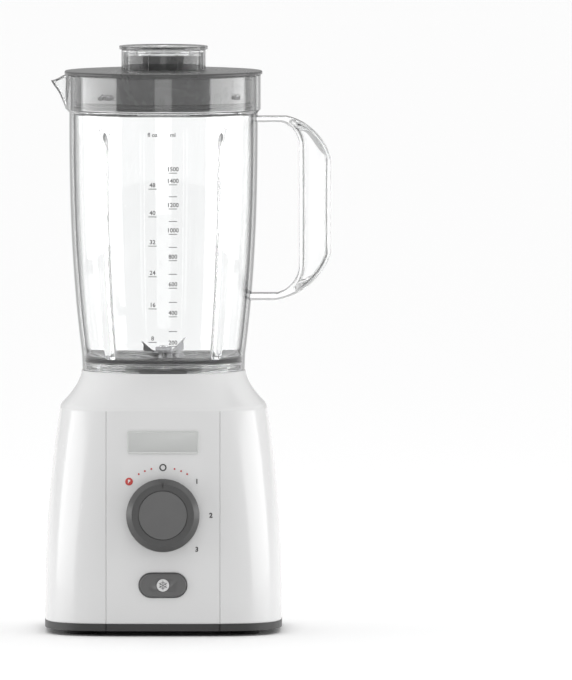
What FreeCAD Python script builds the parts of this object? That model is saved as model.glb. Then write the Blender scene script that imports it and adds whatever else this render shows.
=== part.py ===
import FreeCAD, Part
import math
import os

# A countertop blender: a motor base with a lift-off jug, a removable blade unit, a push-in lid
# and a filler cap. Millimetres. The origin is on the drive axis at the resting plane, +Z up,
# the control panel faces -Y and the jug's handle points to +X.

V = FreeCAD.Vector
UP = V(0, 0, 1)

# ---------------------------------------------------------------- driving dimensions
# casing
CASING_HALF_WIDTH = 82.9
CASING_HALF_DEPTH = 80.5
CASING_LEAN = 10.8  # how far each side leans in by the shoulder
CASING_LEAN_POWER = 2.2
CASING_SQUARENESS = 4.2  # superellipse power of the plan at the bottom
SHOULDER_SQUARENESS = 3.2
CASING_BOTTOM = 8.5
SHOULDER_HEIGHT = 157.5
NECK_TOP = SHOULDER_HEIGHT + 24.0
NECK_RADIUS = 57.5
NECK_FLARE_POWER = 1.7
CASING_WALL = 2.5
GROOVE_OFFSET = 39.6  # from the centre line to each panel groove
GROOVE_WIDTH = 0.9
GROOVE_DEPTH = 0.6
BOSS_RADIUS = 6.0
BOSS_INSET = 19.5  # from the casing's sides to each screw
BOSS_TOP = 46.0

# base plate and feet
FOOT_HEIGHT = 3.5
FOOT_RADIUS = 10.0
FOOT_STEM_RADIUS = 3.0
FOOT_X = CASING_HALF_WIDTH - 25.9
FOOT_Y = CASING_HALF_DEPTH - 32.5
PLATE_THICKNESS = 3.0
PLATE_LIP_HEIGHT = 4.0
PLATE_LIP_WALL = 2.0
VENT_WIDTH = 3.0
VENT_PITCH = 8.0
VENT_COUNT = 7
SCREW_RADIUS = 1.8
SCREW_HEAD_RADIUS = 3.4
SCREW_HEAD_HEIGHT = 2.2
SCREW_LENGTH = 22.0
SCREW_SLOT_HALF_LENGTH = 2.2
SCREW_SLOT_HALF_WIDTH = 0.4

# drive line
SHAFT_RADIUS = 4.0
RUNNING_CLEARANCE = 0.05
FIT_CLEARANCE = 0.3  # between pieces that move past each other
FACE_GAP = 1.0  # between turning faces and what stands still
COUPLING_HEIGHT = 6.0
COUPLING_CORE_RADIUS = SHAFT_RADIUS + 3.0
COUPLING_REACH = COUPLING_CORE_RADIUS + 3.0
COUPLING_LOBES = 3
COUPLING_LOBE_ANGLE = 22.0  # wide gaps let the blade unit be unscrewed while it stands on the dog
DRIVEN_WALL = 3.0
DRIVEN_TOP = 2.5
DRIVEN_GAP = 0.8  # between the two shafts' couplings along the axis

# jug seat in the casing's neck
SEAT_DEPTH = 15.5
SEAT_WALL = 2.5
SEAT_HOLE_RADIUS = SHAFT_RADIUS + 5.0
SEAT_LIP = 2.5
SEAT_LIP_HEIGHT = 2.0
TONGUE_HALF_ANGLE = 17.5
TONGUE_HEIGHT = 1.6

# motor
BUSH_WALL = 4.0
BUSH_HOUSING_WALL = 2.5
LOWER_BRACKET_HEIGHT = 54.0
UPPER_BRACKET_HEIGHT = 144.0
BRACKET_THICKNESS = 3.0
STATOR_BOTTOM = 92.0
STATOR_STACK = 36.0
STATOR_BORE = 22.0
STATOR_WIDTH = 2 * STATOR_BORE + 42.0
STATOR_DEPTH = 2 * STATOR_BORE + 22.0
AIR_GAP = 0.6
COIL_HEIGHT = 8.0
COIL_WALL = 8.0
COMMUTATOR_RADIUS = SHAFT_RADIUS + 7.0
COMMUTATOR_BARS = 24
ARMATURE_SLOTS = 12
COMMUTATOR_BOTTOM = 68.0
COMMUTATOR_HEIGHT = 12.0
BRUSH_GAP = 0.1
BRUSH_LENGTH = 13.0
BRUSH_WIDTH = 6.0
BRUSH_HEIGHT = 8.0
FAN_RADIUS = 36.0
FAN_BOTTOM = 34.0
FAN_HEIGHT = 12.0
FAN_BLADES = 11
SHROUD_WALL = 2.5
SHROUD_TOP = 50.0
MOTOR_BOLT_RADIUS = 2.0
MOTOR_BOLT_INSET = 5.0
DAMPER_BORE = 1.6
POST_RADIUS = 5.0
POST_SPACING = 78.0
DAMPER_HEIGHT = 3.0

# jug
JUG_FOOT_RADIUS = NECK_RADIUS - 0.7
JUG_LOW_RADIUS = JUG_FOOT_RADIUS + 0.4
JUG_HIGH_RADIUS = JUG_LOW_RADIUS + 8.8
JUG_CURVE_POWER = 2.5
JUG_WALL = 3.0
JUG_CURVE_BOTTOM = NECK_TOP + 11.5
JUG_CURVE_HEIGHT = 168.5
JUG_CURVE_TOP = JUG_CURVE_BOTTOM + JUG_CURVE_HEIGHT
JUG_FLOOR = NECK_TOP + 9.5
JUG_FLOOR_FALL = 2.5
JUG_FLOOR_THICKNESS = 3.0
COLLAR_RADIUS = JUG_HIGH_RADIUS + 2.1
COLLAR_BOTTOM = JUG_CURVE_TOP + 2.5
COLLAR_HEIGHT = 24.5
JUG_TOP = COLLAR_BOTTOM + COLLAR_HEIGHT
NECK_BORE_RADIUS = 36.0
NECK_WALL = 3.0
NECK_DROP = 4.6
LUG_COUNT = 3
LUG_ANGLE = 24.0
LUG_DEPTH = 2.0
LUG_THICKNESS = 1.8
FOOT_RIDGES = 2
RIDGE_DEPTH = 1.4
RIDGE_PITCH = 3.2
RIDGE_HEIGHT = 1.2
RIB_ANGLE = 42.0  # from the drive axis's Y direction
RIB_WIDTH = 10.0
RIB_DEPTH = 5.0
RIB_TOP = COLLAR_BOTTOM - 12.0
RIB_TAPER = 11.0
SPOUT_REACH = COLLAR_RADIUS + 11.5
SPOUT_TIP_HEIGHT = JUG_TOP - 4.2
SPOUT_HALF_WIDTH = 17.0
SPOUT_ROOT_HALF_WIDTH = 6.0
SPOUT_TIP_RADIUS = 3.4
SPOUT_WALL = 2.2
HANDLE_REACH = JUG_HIGH_RADIUS + 50.8
HANDLE_TOP = COLLAR_BOTTOM - 4.8
HANDLE_BOTTOM = JUG_FLOOR + 39.6
HANDLE_GRIP_WIDTH = 22.5
HANDLE_TOP_STRAP = 4.0
HANDLE_BOTTOM_STRAP = 4.8
HANDLE_GRIP_TOP = HANDLE_TOP - 30.2  # the grip's straight part lies between these two
HANDLE_GRIP_BOTTOM = HANDLE_BOTTOM + 33.4
HANDLE_DEPTH = 21.0
HANDLE_FLANGE = 3.0
HANDLE_WEB = 3.0
HANDLE_TOP_CORNER_X = HANDLE_REACH - 31.2
HANDLE_BOTTOM_CORNER_X = HANDLE_REACH - 37.2
HANDLE_SWEEP_OUTER = 0.69  # how square the grip's corners are
HANDLE_SWEEP_INNER = 0.72
HANDLE_SWEEP_RISE = 0.86

# blade unit
HOLDER_DISH = JUG_FLOOR - 3.5  # height of the dish round the blades
HOLDER_WALL = 3.0
BLADE_SEAL_THICKNESS = 2.4
HOLDER_FLANGE_THICKNESS = 2.5
HOLDER_RING_WALL = 3.0
HOLDER_RING_DROP = 6.5  # below the flange
HOLDER_GRIP_RADIUS = 4.0
HOLDER_GRIPS = 12
BLADE_BUSH_WALL = 3.0
HOLDER_HUB_RADIUS = SHAFT_RADIUS + BLADE_BUSH_WALL + 3.5
DOME_RADIUS = HOLDER_HUB_RADIUS + 8.5
DOME_TOP_RADIUS = HOLDER_HUB_RADIUS + 2.0
DOME_HEIGHT = 3.0
BLADE_SEAL_HEIGHT = 3.0
BLADE_THICKNESS = 1.4
BLADE_HUB_RADIUS = 8.5
BLADE_REACH = NECK_BORE_RADIUS - 9.0
BLADE_ROOT_WIDTH = 11.0
UPPER_BLADE_RISE = 24.0  # degrees
LOWER_BLADE_FALL = 6.0
UPPER_BLADE_ANGLE = 48.0
LOWER_BLADE_ANGLE = -45.0
STUD_RADIUS = 3.0
NUT_ACROSS_FLATS = 10.0
NUT_HEIGHT = 3.4

# lid and filler cap
LID_RADIUS = COLLAR_RADIUS + 1.1
LID_EDGE_THICKNESS = 2.6
LID_DOME = 0.9
LID_SKIRT_DEPTH = 24.0
LID_SKIRT_WALL = 2.5
LID_SEAL_HEIGHT = 5.0
LID_SEAL_WIDTH = 2.7
FILLER_NECK_RADIUS = 26.6
FILLER_NECK_WALL = 2.5
FILLER_NECK_HEIGHT = 10.3
CAP_SKIRT_RADIUS = FILLER_NECK_RADIUS + 2.9
CAP_WALL = 2.0
CAP_SKIRT_HEIGHT = 14.0
CAP_RIM_RADIUS = CAP_SKIRT_RADIUS + 1.5
CAP_RIM_WALL = 2.5
CAP_RIM_HEIGHT = 2.7
CAP_PLATE = 2.5
CAP_CUP_RADIUS = FILLER_NECK_RADIUS - FILLER_NECK_WALL - 3.1
CAP_CUP_DEPTH = 9.0  # below the lid's top
CAP_RIBS = 9
CAP_RIB_WIDTH = 1.2

# control panel
KNOB_HEIGHT = 84.0
KNOB_RADIUS = 25.5
KNOB_FACE_RADIUS = KNOB_RADIUS - 4.0
KNOB_PROUD = 15.0
KNOB_INSERT_RADIUS = KNOB_RADIUS - 8.3
KNOB_INSERT_THICKNESS = 1.6
KNOB_SKIRT_WALL = 3.0
KNOB_GAP = 1.2
SPINDLE_RADIUS = 3.0
SPINDLE_END = 5.0  # below the knob's face
SWITCH_BUSH_RADIUS = SPINDLE_RADIUS + 1.5
SWITCH_LIFT = 1.0  # behind the casing's wall
SWITCH_NUT_LIFT = 0.05
SWITCH_WIDTH = 32.0
SWITCH_DEPTH = 18.0
SWITCH_NUT_THICKNESS = 2.4
MARK_RADIUS = KNOB_RADIUS + 7.9
MARK_PROUD = 0.2
MARK_RING_OUTER = 3.3
MARK_RING_INNER = 2.5
MARK_DISC_RADIUS = 3.5
MARK_DOT_RADIUS = 0.65
MARK_DOT_ANGLES = (14.0, 22.2, 30.3)
MARK_BAR_ANGLES = (45.0, 90.0, 135.0)
MARK_BAR_HALF_WIDTH = 0.6
MARK_BAR_HALF_HEIGHT = 1.9
BUTTON_HEIGHT = 35.6
BUTTON_WIDTH = 33.0
BUTTON_TALL = 16.6
BUTTON_GAP = 0.6
BUTTON_PROUD = 2.6
BUTTON_TRAVEL = 2.5
BUTTON_STEM_RADIUS = 3.0
BUTTON_STEM_END = 14.0
ICE_SWITCH_THICKNESS = 8.0
ICON_RADIUS = 4.4
ICON_THICKNESS = 0.5
BADGE_HEIGHT = 134.8
BADGE_WIDTH = 50.0
BADGE_TALL = 16.0
BADGE_THICKNESS = 1.0
BADGE_CORNER = 2.0

# cord inlet, switches and board
INLET_HEIGHT = 24.0
INLET_BORE = 3.9
INLET_OUTER = INLET_BORE + 3.1
INLET_FLANGE = INLET_OUTER + 3.0
INLET_FLANGE_THICKNESS = 2.0
INLET_LENGTH = 14.0
PLUNGER_RADIUS = 2.5
PLUNGER_COLLAR_WIDTH = 1.6
PLUNGER_COLLAR_THICKNESS = 1.2
PLUNGER_TRAVEL = 2.5
PLUNGER_LENGTH = 24.0
SPRING_WIRE = 0.5
SPRING_LENGTH = 9.0
SPRING_TURNS = 6
BOARD_THICKNESS = 1.6
BOARD_INSET = 18.9  # from the casing's side
BOARD_HEIGHT = 60.0
BOARD_HALF_WIDTH = 28.0

# ---------------------------------------------------------------- derived sizes
PLATE_BOTTOM = FOOT_HEIGHT
PLATE_TOP = PLATE_BOTTOM + PLATE_THICKNESS
SEAT_FLOOR = NECK_TOP - SEAT_DEPTH
SEAT_RADIUS = NECK_RADIUS - CASING_WALL - RUNNING_CLEARANCE
SEAT_INNER = SEAT_RADIUS - SEAT_WALL
COUPLING_BOTTOM = SEAT_FLOOR + SEAT_LIP_HEIGHT + FACE_GAP
COUPLING_TOP = COUPLING_BOTTOM + COUPLING_HEIGHT
BUSH_RADIUS = SHAFT_RADIUS + BUSH_WALL
STATOR_TOP = STATOR_BOTTOM + STATOR_STACK
NECK_OUTER_RADIUS = NECK_BORE_RADIUS + NECK_WALL
JUG_NECK_BOTTOM = JUG_FLOOR - JUG_FLOOR_THICKNESS - NECK_DROP
HOLDER_FLANGE_TOP = JUG_NECK_BOTTOM - BLADE_SEAL_THICKNESS
HOLDER_FLANGE_BOTTOM = HOLDER_FLANGE_TOP - HOLDER_FLANGE_THICKNESS
HOLDER_RING_BOTTOM = HOLDER_FLANGE_BOTTOM - HOLDER_RING_DROP
HOLDER_RING_TOP = JUG_NECK_BOTTOM + 2 * LUG_THICKNESS + FIT_CLEARANCE
HOLDER_DISC_RADIUS = NECK_BORE_RADIUS - FIT_CLEARANCE
HOLDER_RING_INNER = NECK_OUTER_RADIUS + LUG_DEPTH + 2 * FIT_CLEARANCE
HOLDER_RING_OUTER = HOLDER_RING_INNER + HOLDER_RING_WALL
DOME_TOP = HOLDER_DISH + DOME_HEIGHT
BLADE_BORE_RADIUS = SHAFT_RADIUS + BLADE_BUSH_WALL
BLADE_SEAT = DOME_TOP + FACE_GAP
BLADE_STACK_TOP = BLADE_SEAT + 2 * BLADE_THICKNESS
LID_TOP = JUG_TOP + LID_EDGE_THICKNESS + LID_DOME
CAP_PLATE_BOTTOM = LID_TOP + CAP_SKIRT_HEIGHT - CAP_PLATE + 0.5
COLLAR_BORE = COLLAR_RADIUS - JUG_WALL
LID_SKIRT_RADIUS = COLLAR_BORE - LID_SEAL_WIDTH - FIT_CLEARANCE
PLUNGER_Y = (HOLDER_RING_INNER + HOLDER_RING_OUTER) / 2.0 - 0.1  # under the holder's ring
SPRING_SHELF = HOLDER_RING_BOTTOM - PLUNGER_LENGTH + 3.0
BOARD_X = BOARD_INSET - CASING_HALF_WIDTH
BOLT_X = STATOR_WIDTH / 2.0 - MOTOR_BOLT_INSET
BOLT_Y = STATOR_DEPTH / 2.0 - MOTOR_BOLT_INSET
POST_HALF = POST_SPACING / 2.0
SWITCH_NEAR = CASING_WALL + SWITCH_LIFT
ICE_SWITCH_NEAR = BUTTON_STEM_END + BUTTON_TRAVEL + 0.1
BRUSH_LEVEL = COMMUTATOR_BOTTOM + COMMUTATOR_HEIGHT / 2.0
FLOOR_BOTTOM = JUG_FLOOR - JUG_FLOOR_THICKNESS
SCREW_TOP = PLATE_BOTTOM + SCREW_HEAD_HEIGHT + SCREW_LENGTH


# ---------------------------------------------------------------- helpers
def cylinder(radius, bottom, top, x=0.0, y=0.0):
    """An upright cylinder between two heights."""
    return Part.makeCylinder(radius, top - bottom, V(x, y, bottom))


def tube(outer, inner, bottom, top, x=0.0, y=0.0):
    """An upright tube between two heights."""
    return cylinder(outer, bottom, top, x, y).cut(cylinder(inner, bottom, top, x, y))


def block(x0, x1, y0, y1, z0, z1):
    """A box between two corners."""
    return Part.makeBox(x1 - x0, y1 - y0, z1 - z0, V(x0, y0, z0))


def turned(outline):
    """A solid of revolution about Z from (radius, height) corners."""
    points = [V(r, 0, z) for r, z in outline]
    face = Part.Face(Part.makePolygon(points + points[:1]))
    return face.revolve(V(0, 0, 0), UP, 360)


def around(shape, count, start=0.0):
    """Copies of a shape spaced evenly about the drive axis."""
    copies = []
    for i in range(count):
        copy = shape.copy()
        copy.rotate(V(0, 0, 0), UP, start + 360.0 * i / count)
        copies.append(copy)
    return copies


def fused(shapes):
    """One solid from several, with its seams cleaned away."""
    shapes = list(shapes)
    return shapes[0].multiFuse(shapes[1:]).removeSplitter()


def cut_all(shape, tools):
    """A shape less every one of the tools."""
    for tool in tools:
        shape = shape.cut(tool)
    return shape


def group(shapes):
    """Separate solids in one node."""
    return Part.makeCompound([solid for shape in shapes for solid in shape.Solids])


def corners(x, y):
    """The four corners of a rectangle about the drive axis."""
    return [(sx * x, sy * y) for sx in (-1, 1) for sy in (-1, 1)]


def oval_plan(half_x, half_y, power, height, count=32):
    """A superellipse wire, from a circle at power 2 towards a square as the power grows."""
    points = []
    for i in range(count):
        a = 2 * math.pi * i / count
        reach = abs(math.cos(a) / half_x) ** power + abs(math.sin(a) / half_y) ** power
        r = reach ** (-1.0 / power)
        points.append(V(r * math.cos(a), r * math.sin(a), height))
    curve = Part.BSplineCurve()
    curve.interpolate(Points=points, PeriodicFlag=True)
    return Part.Wire([curve.toShape()])


# ---------------------------------------------------------------- casing form
def casing_plan(height, growth):
    """The casing's plan at a height, grown or shrunk all round, between its bottom and the neck's top."""
    if height <= SHOULDER_HEIGHT:
        t = (height - CASING_BOTTOM) / (SHOULDER_HEIGHT - CASING_BOTTOM)
        lean = CASING_LEAN * t**CASING_LEAN_POWER
        power = CASING_SQUARENESS + (SHOULDER_SQUARENESS - CASING_SQUARENESS) * t
        half_x = CASING_HALF_WIDTH - lean
        half_y = CASING_HALF_DEPTH - lean
    else:
        t = (height - SHOULDER_HEIGHT) / (NECK_TOP - SHOULDER_HEIGHT)
        rest = (1 - t) ** NECK_FLARE_POWER
        power = 2 + (SHOULDER_SQUARENESS - 2) * (1 - t)
        half_x = NECK_RADIUS + (CASING_HALF_WIDTH - CASING_LEAN - NECK_RADIUS) * rest
        half_y = NECK_RADIUS + (CASING_HALF_DEPTH - CASING_LEAN - NECK_RADIUS) * rest
    return oval_plan(half_x + growth, half_y + growth, power, height)


def casing_form(growth):
    """The casing as a full solid, grown by an amount all round."""
    spans = [(CASING_BOTTOM, SHOULDER_HEIGHT), (SHOULDER_HEIGHT, NECK_TOP)]
    lofts = []
    for low, high in spans:
        plans = [casing_plan(low + (high - low) * i / 4.0, growth) for i in range(5)]
        lofts.append(Part.makeLoft(plans, True, False))
    return lofts[0].fuse(lofts[1])


OUTER_FORM = casing_form(0.0)


def casing_y(height, side=-1):
    """Where the casing's surface lies on the centre plane, at the front (-1) or the rear (+1)."""
    far = 3 * CASING_HALF_DEPTH * side
    hit = OUTER_FORM.common(Part.makeLine(V(0, far, height), V(0, 0, height)))
    return hit.BoundBox.YMin if side < 0 else hit.BoundBox.YMax


def panel_placement(height):
    """A frame on the front face whose -Y points straight out of the leaning panel."""
    rise = casing_y(height + 1) - casing_y(height - 1)
    lean = math.degrees(math.atan2(rise, 2.0))
    return FreeCAD.Placement(V(0, casing_y(height), height), FreeCAD.Rotation(V(1, 0, 0), -lean))


def placed(shape, placement):
    """A copy of a shape moved from the panel's own frame into the model's."""
    copy = shape.copy()
    copy.Placement = placement.multiply(copy.Placement)
    return copy


def peg(radius, near, far):
    """A cylinder along the panel's own Y axis."""
    return Part.makeCylinder(radius, far - near, V(0, near, 0), V(0, 1, 0))


def spun(outline):
    """A solid of revolution about the panel's Y axis, from (radius, distance inwards) corners."""
    points = [V(r, y, 0) for r, y in outline]
    face = Part.Face(Part.makePolygon(points + points[:1]))
    return face.revolve(V(0, 0, 0), V(0, 1, 0), 360)


def pill(width, tall, near, far):
    """A button shape with round ends, standing along the panel's own Y axis."""
    radius = tall / 2.0
    half = width / 2.0 - radius
    middle = block(-half, half, near, far, -radius, radius)
    ends = [peg(radius, near, far) for _ in range(2)]
    ends[0].translate(V(-half, 0, 0))
    ends[1].translate(V(half, 0, 0))
    return fused([middle] + ends)


KNOB_PLACE = panel_placement(KNOB_HEIGHT)
BUTTON_PLACE = panel_placement(BUTTON_HEIGHT)
BADGE_PLACE = panel_placement(BADGE_HEIGHT)


# ---------------------------------------------------------------- power unit
def boss_points():
    """Where the four casing screws stand."""
    return corners(CASING_HALF_WIDTH - BOSS_INSET, CASING_HALF_DEPTH - BOSS_INSET)


def outer_casing():
    """The white shell with its panel grooves, screw bosses and openings."""
    shell = OUTER_FORM.cut(casing_form(-CASING_WALL))
    boss_bottom = CASING_BOTTOM + PLATE_LIP_HEIGHT + FIT_CLEARANCE
    bosses = [cylinder(BOSS_RADIUS, boss_bottom, BOSS_TOP, x, y) for x, y in boss_points()]
    shell = shell.multiFuse([boss.common(OUTER_FORM) for boss in bosses])
    skin = OUTER_FORM.cut(casing_form(-GROOVE_DEPTH))
    half = GROOVE_WIDTH / 2.0
    for side in (-1, 1):
        x = side * GROOVE_OFFSET
        slab = block(x - half, x + half, -CASING_HALF_DEPTH - 1, 0, CASING_BOTTOM - 1, SHOULDER_HEIGHT)
        shell = shell.cut(slab.common(skin))
    holes = [cylinder(SCREW_RADIUS, boss_bottom - 1, SCREW_TOP + 1, x, y) for x, y in boss_points()]
    reach = 2 * CASING_WALL
    holes.append(placed(peg(SWITCH_BUSH_RADIUS, -reach, reach), KNOB_PLACE))
    opening = pill(BUTTON_WIDTH + 2 * BUTTON_GAP, BUTTON_TALL + 2 * BUTTON_GAP, -reach, reach)
    holes.append(placed(opening, BUTTON_PLACE))
    holes.append(inlet_peg(INLET_OUTER, -3 * CASING_WALL, 2 * CASING_WALL))
    return cut_all(shell, holes)


def inlet_peg(radius, near, far):
    """A cylinder along Y through the rear wall at the cord inlet, measured from the wall outwards."""
    wall = casing_y(INLET_HEIGHT, 1)
    return Part.makeCylinder(radius, far - near, V(0, wall + near, INLET_HEIGHT), V(0, 1, 0))


def base_plate():
    """The dark tray that closes the casing from below and carries the motor's posts."""
    rim = oval_plan(CASING_HALF_WIDTH, CASING_HALF_DEPTH, CASING_SQUARENESS, PLATE_BOTTOM)
    tray = Part.Face(rim).extrude(V(0, 0, CASING_BOTTOM - PLATE_BOTTOM))
    lip_x = CASING_HALF_WIDTH - CASING_WALL - FIT_CLEARANCE
    lip_y = CASING_HALF_DEPTH - CASING_WALL - FIT_CLEARANCE
    lip = Part.Face(oval_plan(lip_x, lip_y, CASING_SQUARENESS, CASING_BOTTOM))
    lip = lip.extrude(V(0, 0, PLATE_LIP_HEIGHT))
    hollow_plan = oval_plan(lip_x - PLATE_LIP_WALL, lip_y - PLATE_LIP_WALL, CASING_SQUARENESS, PLATE_TOP)
    hollow = Part.Face(hollow_plan).extrude(V(0, 0, CASING_BOTTOM + PLATE_LIP_HEIGHT - PLATE_TOP))
    plate = tray.fuse(lip).cut(hollow)
    post_top = LOWER_BRACKET_HEIGHT - DAMPER_HEIGHT
    lip_top = CASING_BOTTOM + PLATE_LIP_HEIGHT
    inside = Part.Face(oval_plan(lip_x, lip_y, CASING_SQUARENESS, PLATE_TOP)).extrude(V(0, 0, lip_top))
    added = [cylinder(POST_RADIUS, PLATE_TOP, post_top, x, y) for x, y in corners(POST_HALF, POST_HALF)]
    added += [cylinder(BOSS_RADIUS, PLATE_TOP, lip_top, x, y).common(inside) for x, y in boss_points()]
    for x in (BOARD_X - PLATE_LIP_WALL, BOARD_X + BOARD_THICKNESS):
        half = BOARD_HALF_WIDTH + 2
        added.append(block(x, x + PLATE_LIP_WALL, -half, half, PLATE_TOP, PLATE_TOP + 9))
    plate = fused([plate] + added)
    head = PLATE_BOTTOM + SCREW_HEAD_HEIGHT
    tools = []
    for x, y in boss_points():
        tools.append(cylinder(SCREW_RADIUS + FIT_CLEARANCE, PLATE_BOTTOM - 1, 3 * PLATE_TOP, x, y))
        tools.append(cylinder(SCREW_HEAD_RADIUS + FIT_CLEARANCE, PLATE_BOTTOM - 1, head, x, y))
    for x, y in corners(FOOT_X, FOOT_Y):
        tools.append(cylinder(FOOT_STEM_RADIUS, PLATE_BOTTOM - 1, PLATE_TOP, x, y))
    tools += [vent(i) for i in range(VENT_COUNT)]
    for side in (-1, 1):
        left = side * GROOVE_OFFSET - GROOVE_WIDTH / 2.0
        front = -CASING_HALF_DEPTH
        tools.append(block(left, left + GROOVE_WIDTH, front - 1, front + 3, 0, CASING_BOTTOM))
    return cut_all(plate, tools)


def vent(index):
    """One air slot of the row under the fan."""
    y = (index - (VENT_COUNT - 1) / 2.0) * VENT_PITCH
    half = math.sqrt((FAN_RADIUS - VENT_WIDTH) ** 2 - y**2)
    return block(-half, half, y - VENT_WIDTH / 2.0, y + VENT_WIDTH / 2.0, PLATE_BOTTOM - 1, PLATE_TOP + 1)


def rubber_feet():
    """Four round feet, each with a stem pushed into the base plate."""
    feet = []
    for x, y in corners(FOOT_X, FOOT_Y):
        pad = cylinder(FOOT_RADIUS, 0, FOOT_HEIGHT, x, y)
        pad = pad.makeChamfer(0.6, [edge for edge in pad.Edges if edge.BoundBox.ZMax < 0.1])
        feet.append(pad.fuse(cylinder(FOOT_STEM_RADIUS, FOOT_HEIGHT, PLATE_TOP, x, y)).removeSplitter())
    return group(feet)


def base_screws():
    """Four screws that hold the base plate to the casing's bosses."""
    screws = []
    for x, y in boss_points():
        head = cylinder(SCREW_HEAD_RADIUS, PLATE_BOTTOM, PLATE_BOTTOM + SCREW_HEAD_HEIGHT, x, y)
        far = SCREW_SLOT_HALF_LENGTH
        near = SCREW_SLOT_HALF_WIDTH
        slot = block(x - far, x + far, y - near, y + near, PLATE_BOTTOM, PLATE_BOTTOM + 1)
        cross = block(x - near, x + near, y - far, y + far, PLATE_BOTTOM, PLATE_BOTTOM + 1)
        screw = head.fuse(cylinder(SCREW_RADIUS, PLATE_BOTTOM + SCREW_HEAD_HEIGHT, SCREW_TOP, x, y))
        screws.append(screw.cut(slot).cut(cross))
    return group(screws)


def wedge(inner, outer, bottom, top, middle, half_angle):
    """A slice of a tube, centred on a direction given in degrees from +X."""
    slice_ = Part.makeCylinder(outer, top - bottom, V(0, 0, bottom), UP, 2 * half_angle)
    slice_ = slice_.cut(cylinder(inner, bottom - 1, top + 1))
    slice_.rotate(V(0, 0, 0), UP, middle - half_angle)
    return slice_


def jug_seat():
    """The well in the casing's neck that the jug stands over, with a tongue that locates the jug's foot."""
    cup = turned(
        [
            (SEAT_HOLE_RADIUS, SEAT_FLOOR - SEAT_WALL),
            (SEAT_RADIUS, SEAT_FLOOR - SEAT_WALL),
            (SEAT_RADIUS, NECK_TOP),
            (SEAT_INNER, NECK_TOP),
            (SEAT_INNER, SEAT_FLOOR),
            (SEAT_HOLE_RADIUS + SEAT_LIP, SEAT_FLOOR),
            (SEAT_HOLE_RADIUS + SEAT_LIP, SEAT_FLOOR + SEAT_LIP_HEIGHT),
            (SEAT_HOLE_RADIUS, SEAT_FLOOR + SEAT_LIP_HEIGHT),
        ]
    )
    tongue = wedge(SEAT_INNER, SEAT_RADIUS, NECK_TOP, NECK_TOP + TONGUE_HEIGHT, -90, TONGUE_HALF_ANGLE)
    near = PLUNGER_Y - 6
    far = PLUNGER_Y + 6
    low = SPRING_SHELF - 2
    legs = [block(x, x + 2, near, far, low, SEAT_FLOOR - SEAT_WALL) for x in (-9, 7)]
    shelf = block(-9, 9, near, far, low, SPRING_SHELF)
    seat = fused([cup, tongue, shelf] + legs)
    guide = PLUNGER_RADIUS + RUNNING_CLEARANCE
    return seat.cut(cylinder(guide, low - 1, HOLDER_RING_BOTTOM + 1, 0, PLUNGER_Y))


def splash_seal():
    """The rubber ring that keeps spills off the motor where the shaft comes through the seat."""
    bore = SHAFT_RADIUS + 2 * RUNNING_CLEARANCE
    return tube(SEAT_HOLE_RADIUS, bore, SEAT_FLOOR - SEAT_WALL, SEAT_FLOOR + SEAT_LIP_HEIGHT - 0.5)


def badge_plate():
    """A blank satin plate that follows the front face."""
    plate = block(-BADGE_WIDTH / 2.0, BADGE_WIDTH / 2.0, -6, 6, -BADGE_TALL / 2.0, BADGE_TALL / 2.0)
    plate = plate.makeFillet(BADGE_CORNER, [e for e in plate.Edges if e.BoundBox.YLength > 11])
    plate = placed(plate, BADGE_PLACE)
    return plate.common(casing_form(BADGE_THICKNESS).cut(OUTER_FORM))


def dial_marks():
    """The marks round the knob, as thin pads: a ring at off, a disc at pulse, dots and bars."""

    def at(degrees, radius=MARK_RADIUS):
        a = math.radians(degrees)
        return V(radius * math.sin(a), 0, radius * math.cos(a))

    def dot(degrees, radius):
        return Part.makeCylinder(radius, 16, at(degrees) + V(0, -8, 0), V(0, 1, 0))

    pads = [dot(0, MARK_RING_OUTER).cut(dot(0, MARK_RING_INNER)), dot(-45, MARK_DISC_RADIUS)]
    pads += [dot(side * a, MARK_DOT_RADIUS) for side in (-1, 1) for a in MARK_DOT_ANGLES]
    for degrees in MARK_BAR_ANGLES:
        half = MARK_BAR_HALF_WIDTH
        bar = block(-half, half, -8, 8, -MARK_BAR_HALF_HEIGHT, MARK_BAR_HALF_HEIGHT)
        bar.translate(at(degrees))
        pads.append(bar)
    skin = casing_form(MARK_PROUD).cut(OUTER_FORM)
    return group([placed(pad, KNOB_PLACE).common(skin) for pad in pads])


def cord_inlet_grommet():
    """The flanged bush in the rear wall that a mains lead would pass through."""
    body = inlet_peg(INLET_OUTER, INLET_FLANGE_THICKNESS - INLET_LENGTH, 0)
    flange = inlet_peg(INLET_FLANGE, -CASING_WALL, INLET_FLANGE_THICKNESS).cut(OUTER_FORM)
    lock_near = -3 * CASING_WALL
    lock = inlet_peg(INLET_FLANGE, lock_near, lock_near + 2)
    body = body.fuse(inlet_peg(INLET_OUTER, -1, INLET_FLANGE_THICKNESS))
    grommet = fused([body, flange, lock])
    return grommet.cut(inlet_peg(INLET_BORE, -2 * INLET_LENGTH, 2 * INLET_LENGTH))


# ---------------------------------------------------------------- motor
def bracket(height, width, depth):
    """A pressed motor bracket: a plate with four windows and a housing for its bush."""
    plate = block(-width / 2.0, width / 2.0, -depth / 2.0, depth / 2.0, height, height + BRACKET_THICKNESS)
    housing = BUSH_RADIUS + BUSH_HOUSING_WALL
    plate = plate.fuse(cylinder(housing, height - 2, height + BRACKET_THICKNESS + 4))
    tools = [cylinder(BUSH_RADIUS, height - 3, height + BRACKET_THICKNESS + 5)]
    half_y = depth / 2.0 - 12
    tools += around(block(housing + 4, width / 2.0 - 12, -half_y, half_y, height - 1, height + 9), 2)
    tools += [cylinder(MOTOR_BOLT_RADIUS, height - 1, height + 9, x, y) for x, y in corners(BOLT_X, BOLT_Y)]
    return cut_all(plate, tools)


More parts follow.
